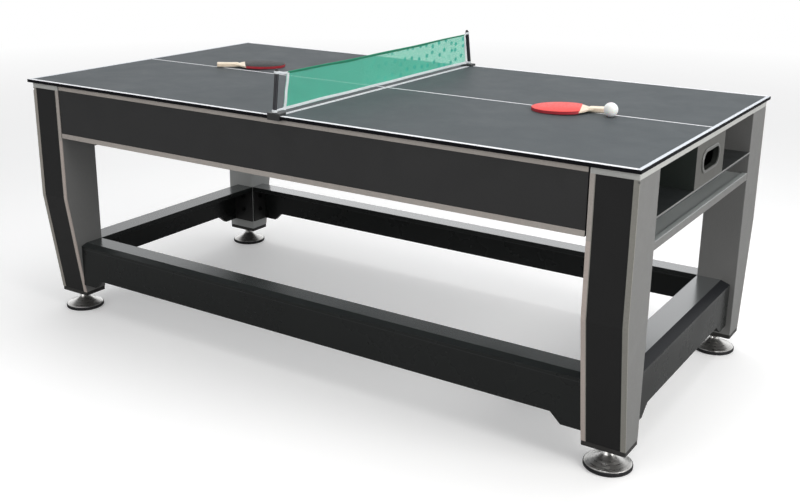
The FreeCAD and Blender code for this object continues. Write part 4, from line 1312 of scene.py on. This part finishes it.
# ------------------------------------------------------------------ floor
FLOOR_LIFT = 0.25              # glow added where the camera sees the floor
FLOOR_BOUNCE = 0.36            # floor grey for bounced light
FLOOR_FADE = (2.6, 7.5)        # distances over which the floor fades to white
FLOOR_RADIUS, FLOOR_SEGMENTS = 60.0, 96


def floor_finish():
    """Pale studio floor that fades into the backdrop and can't be seen from below."""
    mat = Material.new("studio_floor")
    fine = mat.noise(scale=60.0)
    color = mat.noise(scale=0.8, rough=0.5).remap().mix((0.83, 0.83, 0.835), 0.85)
    mat.surface(mat.camera_ray().mix(FLOOR_BOUNCE, color), fine.remap(to=(0.55, 0.65)),
                mat.bump(fine, strength=0.03, depth=0.0005), specular=0.25)
    seen = mat.camera_ray()
    far = hypot(mat.x, mat.y).remap(over=FLOOR_FADE) * seen
    lift = mat.node("ShaderNodeEmission", {"Color": 1.0, "Strength": FLOOR_LIFT * seen})
    lifted = mat.node("ShaderNodeAddShader", {0: mat.shader, 1: lift})
    white = mat.node("ShaderNodeEmission", {"Color": 1.0, "Strength": 1.0})
    faded = mat.mix_shader(far, lifted, white)
    return mat.show(mat.mix_shader(mat.geometry("Backfacing"), faded,
                                   mat.node("ShaderNodeBsdfTransparent")))


def studio_floor():
    data = bpy.data.meshes.new("studio_floor")
    rim_points = [(FLOOR_RADIUS * math.cos(a), FLOOR_RADIUS * math.sin(a), 0)
                  for a in angles(FLOOR_SEGMENTS)]
    data.from_pydata([(0, 0, 0)] + rim_points, [],
                     [(0, k + 1, (k + 1) % FLOOR_SEGMENTS + 1) for k in range(FLOOR_SEGMENTS)])
    floor = bpy.data.objects.new("studio_floor", data)
    floor.location.z = -0.0004         # just clear of the feet
    SCENE.collection.objects.link(floor)
    data.materials.append(floor_finish())
    floor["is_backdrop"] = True


studio_floor()

# ------------------------------------------------------------------ world
WORLD_NEAR, WORLD_FAR = 0.32, 1.60     # strength behind the viewer and behind the table
WORLD_AHEAD = (-0.50, 0.87, 0.0)       # from the viewer to the backdrop
WORLD_LOW, WORLD_HIGH = (0.97, 0.985, 1.0), 0.40      # colours at the horizon and higher up


def studio_world():
    """White to the camera; for light, brighter behind the table than behind the viewer."""
    world = bpy.data.worlds.new("studio")
    SCENE.world = world
    world.use_nodes = True
    world.node_tree.nodes.clear()
    sky = Graph(world.node_tree)
    output = world.node_tree.nodes.new("ShaderNodeOutputWorld")
    direction = sky.node("ShaderNodeTexCoord", output="Generated")
    color = sky.node("ShaderNodeValToRGB", {0: sky.split(direction)[2]})
    low, high = color.socket.node.color_ramp.elements
    low.position, high.position = 0.0, 0.62
    low.color, high.color = (*WORLD_LOW, 1), (WORLD_HIGH, WORLD_HIGH, WORLD_HIGH, 1)
    strength = sky.dot(direction, WORLD_AHEAD).remap(over=(-0.9, 0.8), to=(WORLD_NEAR, WORLD_FAR))
    lighting = sky.node("ShaderNodeBackground", {"Color": color, "Strength": strength})
    white = sky.node("ShaderNodeBackground", {"Color": 1.0, "Strength": 1.0})
    sky.put(output.inputs[0], sky.mix_shader(sky.camera_ray(), lighting, white))


studio_world()


# ------------------------------------------------------------------ lights
def area_light(name, place, aim, width, height, power, color):
    data = bpy.data.lights.new(name, "AREA")
    data.energy = power
    data.color = color
    data.shape = "RECTANGLE"
    data.size = width
    data.size_y = height
    light = bpy.data.objects.new(name, data)
    SCENE.collection.objects.link(light)
    light.location = place
    light.rotation_mode = "QUATERNION"
    light.rotation_quaternion = (Vector(aim) - Vector(place)).to_track_quat("-Z", "Y")
    light.visible_camera = False


area_light("overhead", place=(0.2, 0.3, 3.6), aim=(0, 0, 0.6), width=3.4, height=2.4,
           power=64, color=(1.0, 1.0, 1.0))
area_light("key_right", place=(4.2, -0.6, 2.0), aim=(0.9, 0, 0.5), width=2.2, height=2.0,
           power=108, color=(1.0, 0.99, 0.97))
area_light("front_fill", place=(-0.6, -4.4, 2.2), aim=(0, -0.2, 0.5), width=3.0, height=1.8,
           power=58, color=(1.0, 0.99, 0.98))

SCENE.view_settings.view_transform = "Standard"
SCENE.view_settings.look = "None"

# ------------------------------------------------------------------ camera
# It stands to the right of the front, looking left and slightly down.
CAMERA_PLACE = (1.82266, -2.77289, 1.39906)
CAMERA_TURN, CAMERA_DROP, CAMERA_ROLL = 0.5870, 0.2952, 0.0055     # radians
CAMERA_LENS, CAMERA_SENSOR = 47.510019, 36.0                       # mm
CAMERA_SHIFT = (0.025, -0.045625)                                  # parts of the sensor width


def add_camera():
    turn, drop, roll = CAMERA_TURN, CAMERA_DROP, CAMERA_ROLL
    forward = Vector((-math.sin(turn) * math.cos(drop), math.cos(turn) * math.cos(drop),
                      -math.sin(drop)))
    right = Vector((math.cos(turn), math.sin(turn), 0))
    up = right.cross(forward)
    rolled_right = math.cos(roll) * right + math.sin(roll) * up
    rolled_up = -math.sin(roll) * right + math.cos(roll) * up
    data = bpy.data.cameras.new("camera")
    data.sensor_fit = "HORIZONTAL"
    data.sensor_width = CAMERA_SENSOR
    data.lens = CAMERA_LENS
    data.shift_x, data.shift_y = CAMERA_SHIFT
    data.clip_start, data.clip_end = 0.05, 200.0
    camera = bpy.data.objects.new("camera", data)
    SCENE.collection.objects.link(camera)
    axes = Matrix((rolled_right, rolled_up, -forward)).transposed()
    camera.matrix_world = Matrix.Translation(CAMERA_PLACE) @ axes.to_4x4()
    SCENE.camera = camera


add_camera()

low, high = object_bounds()
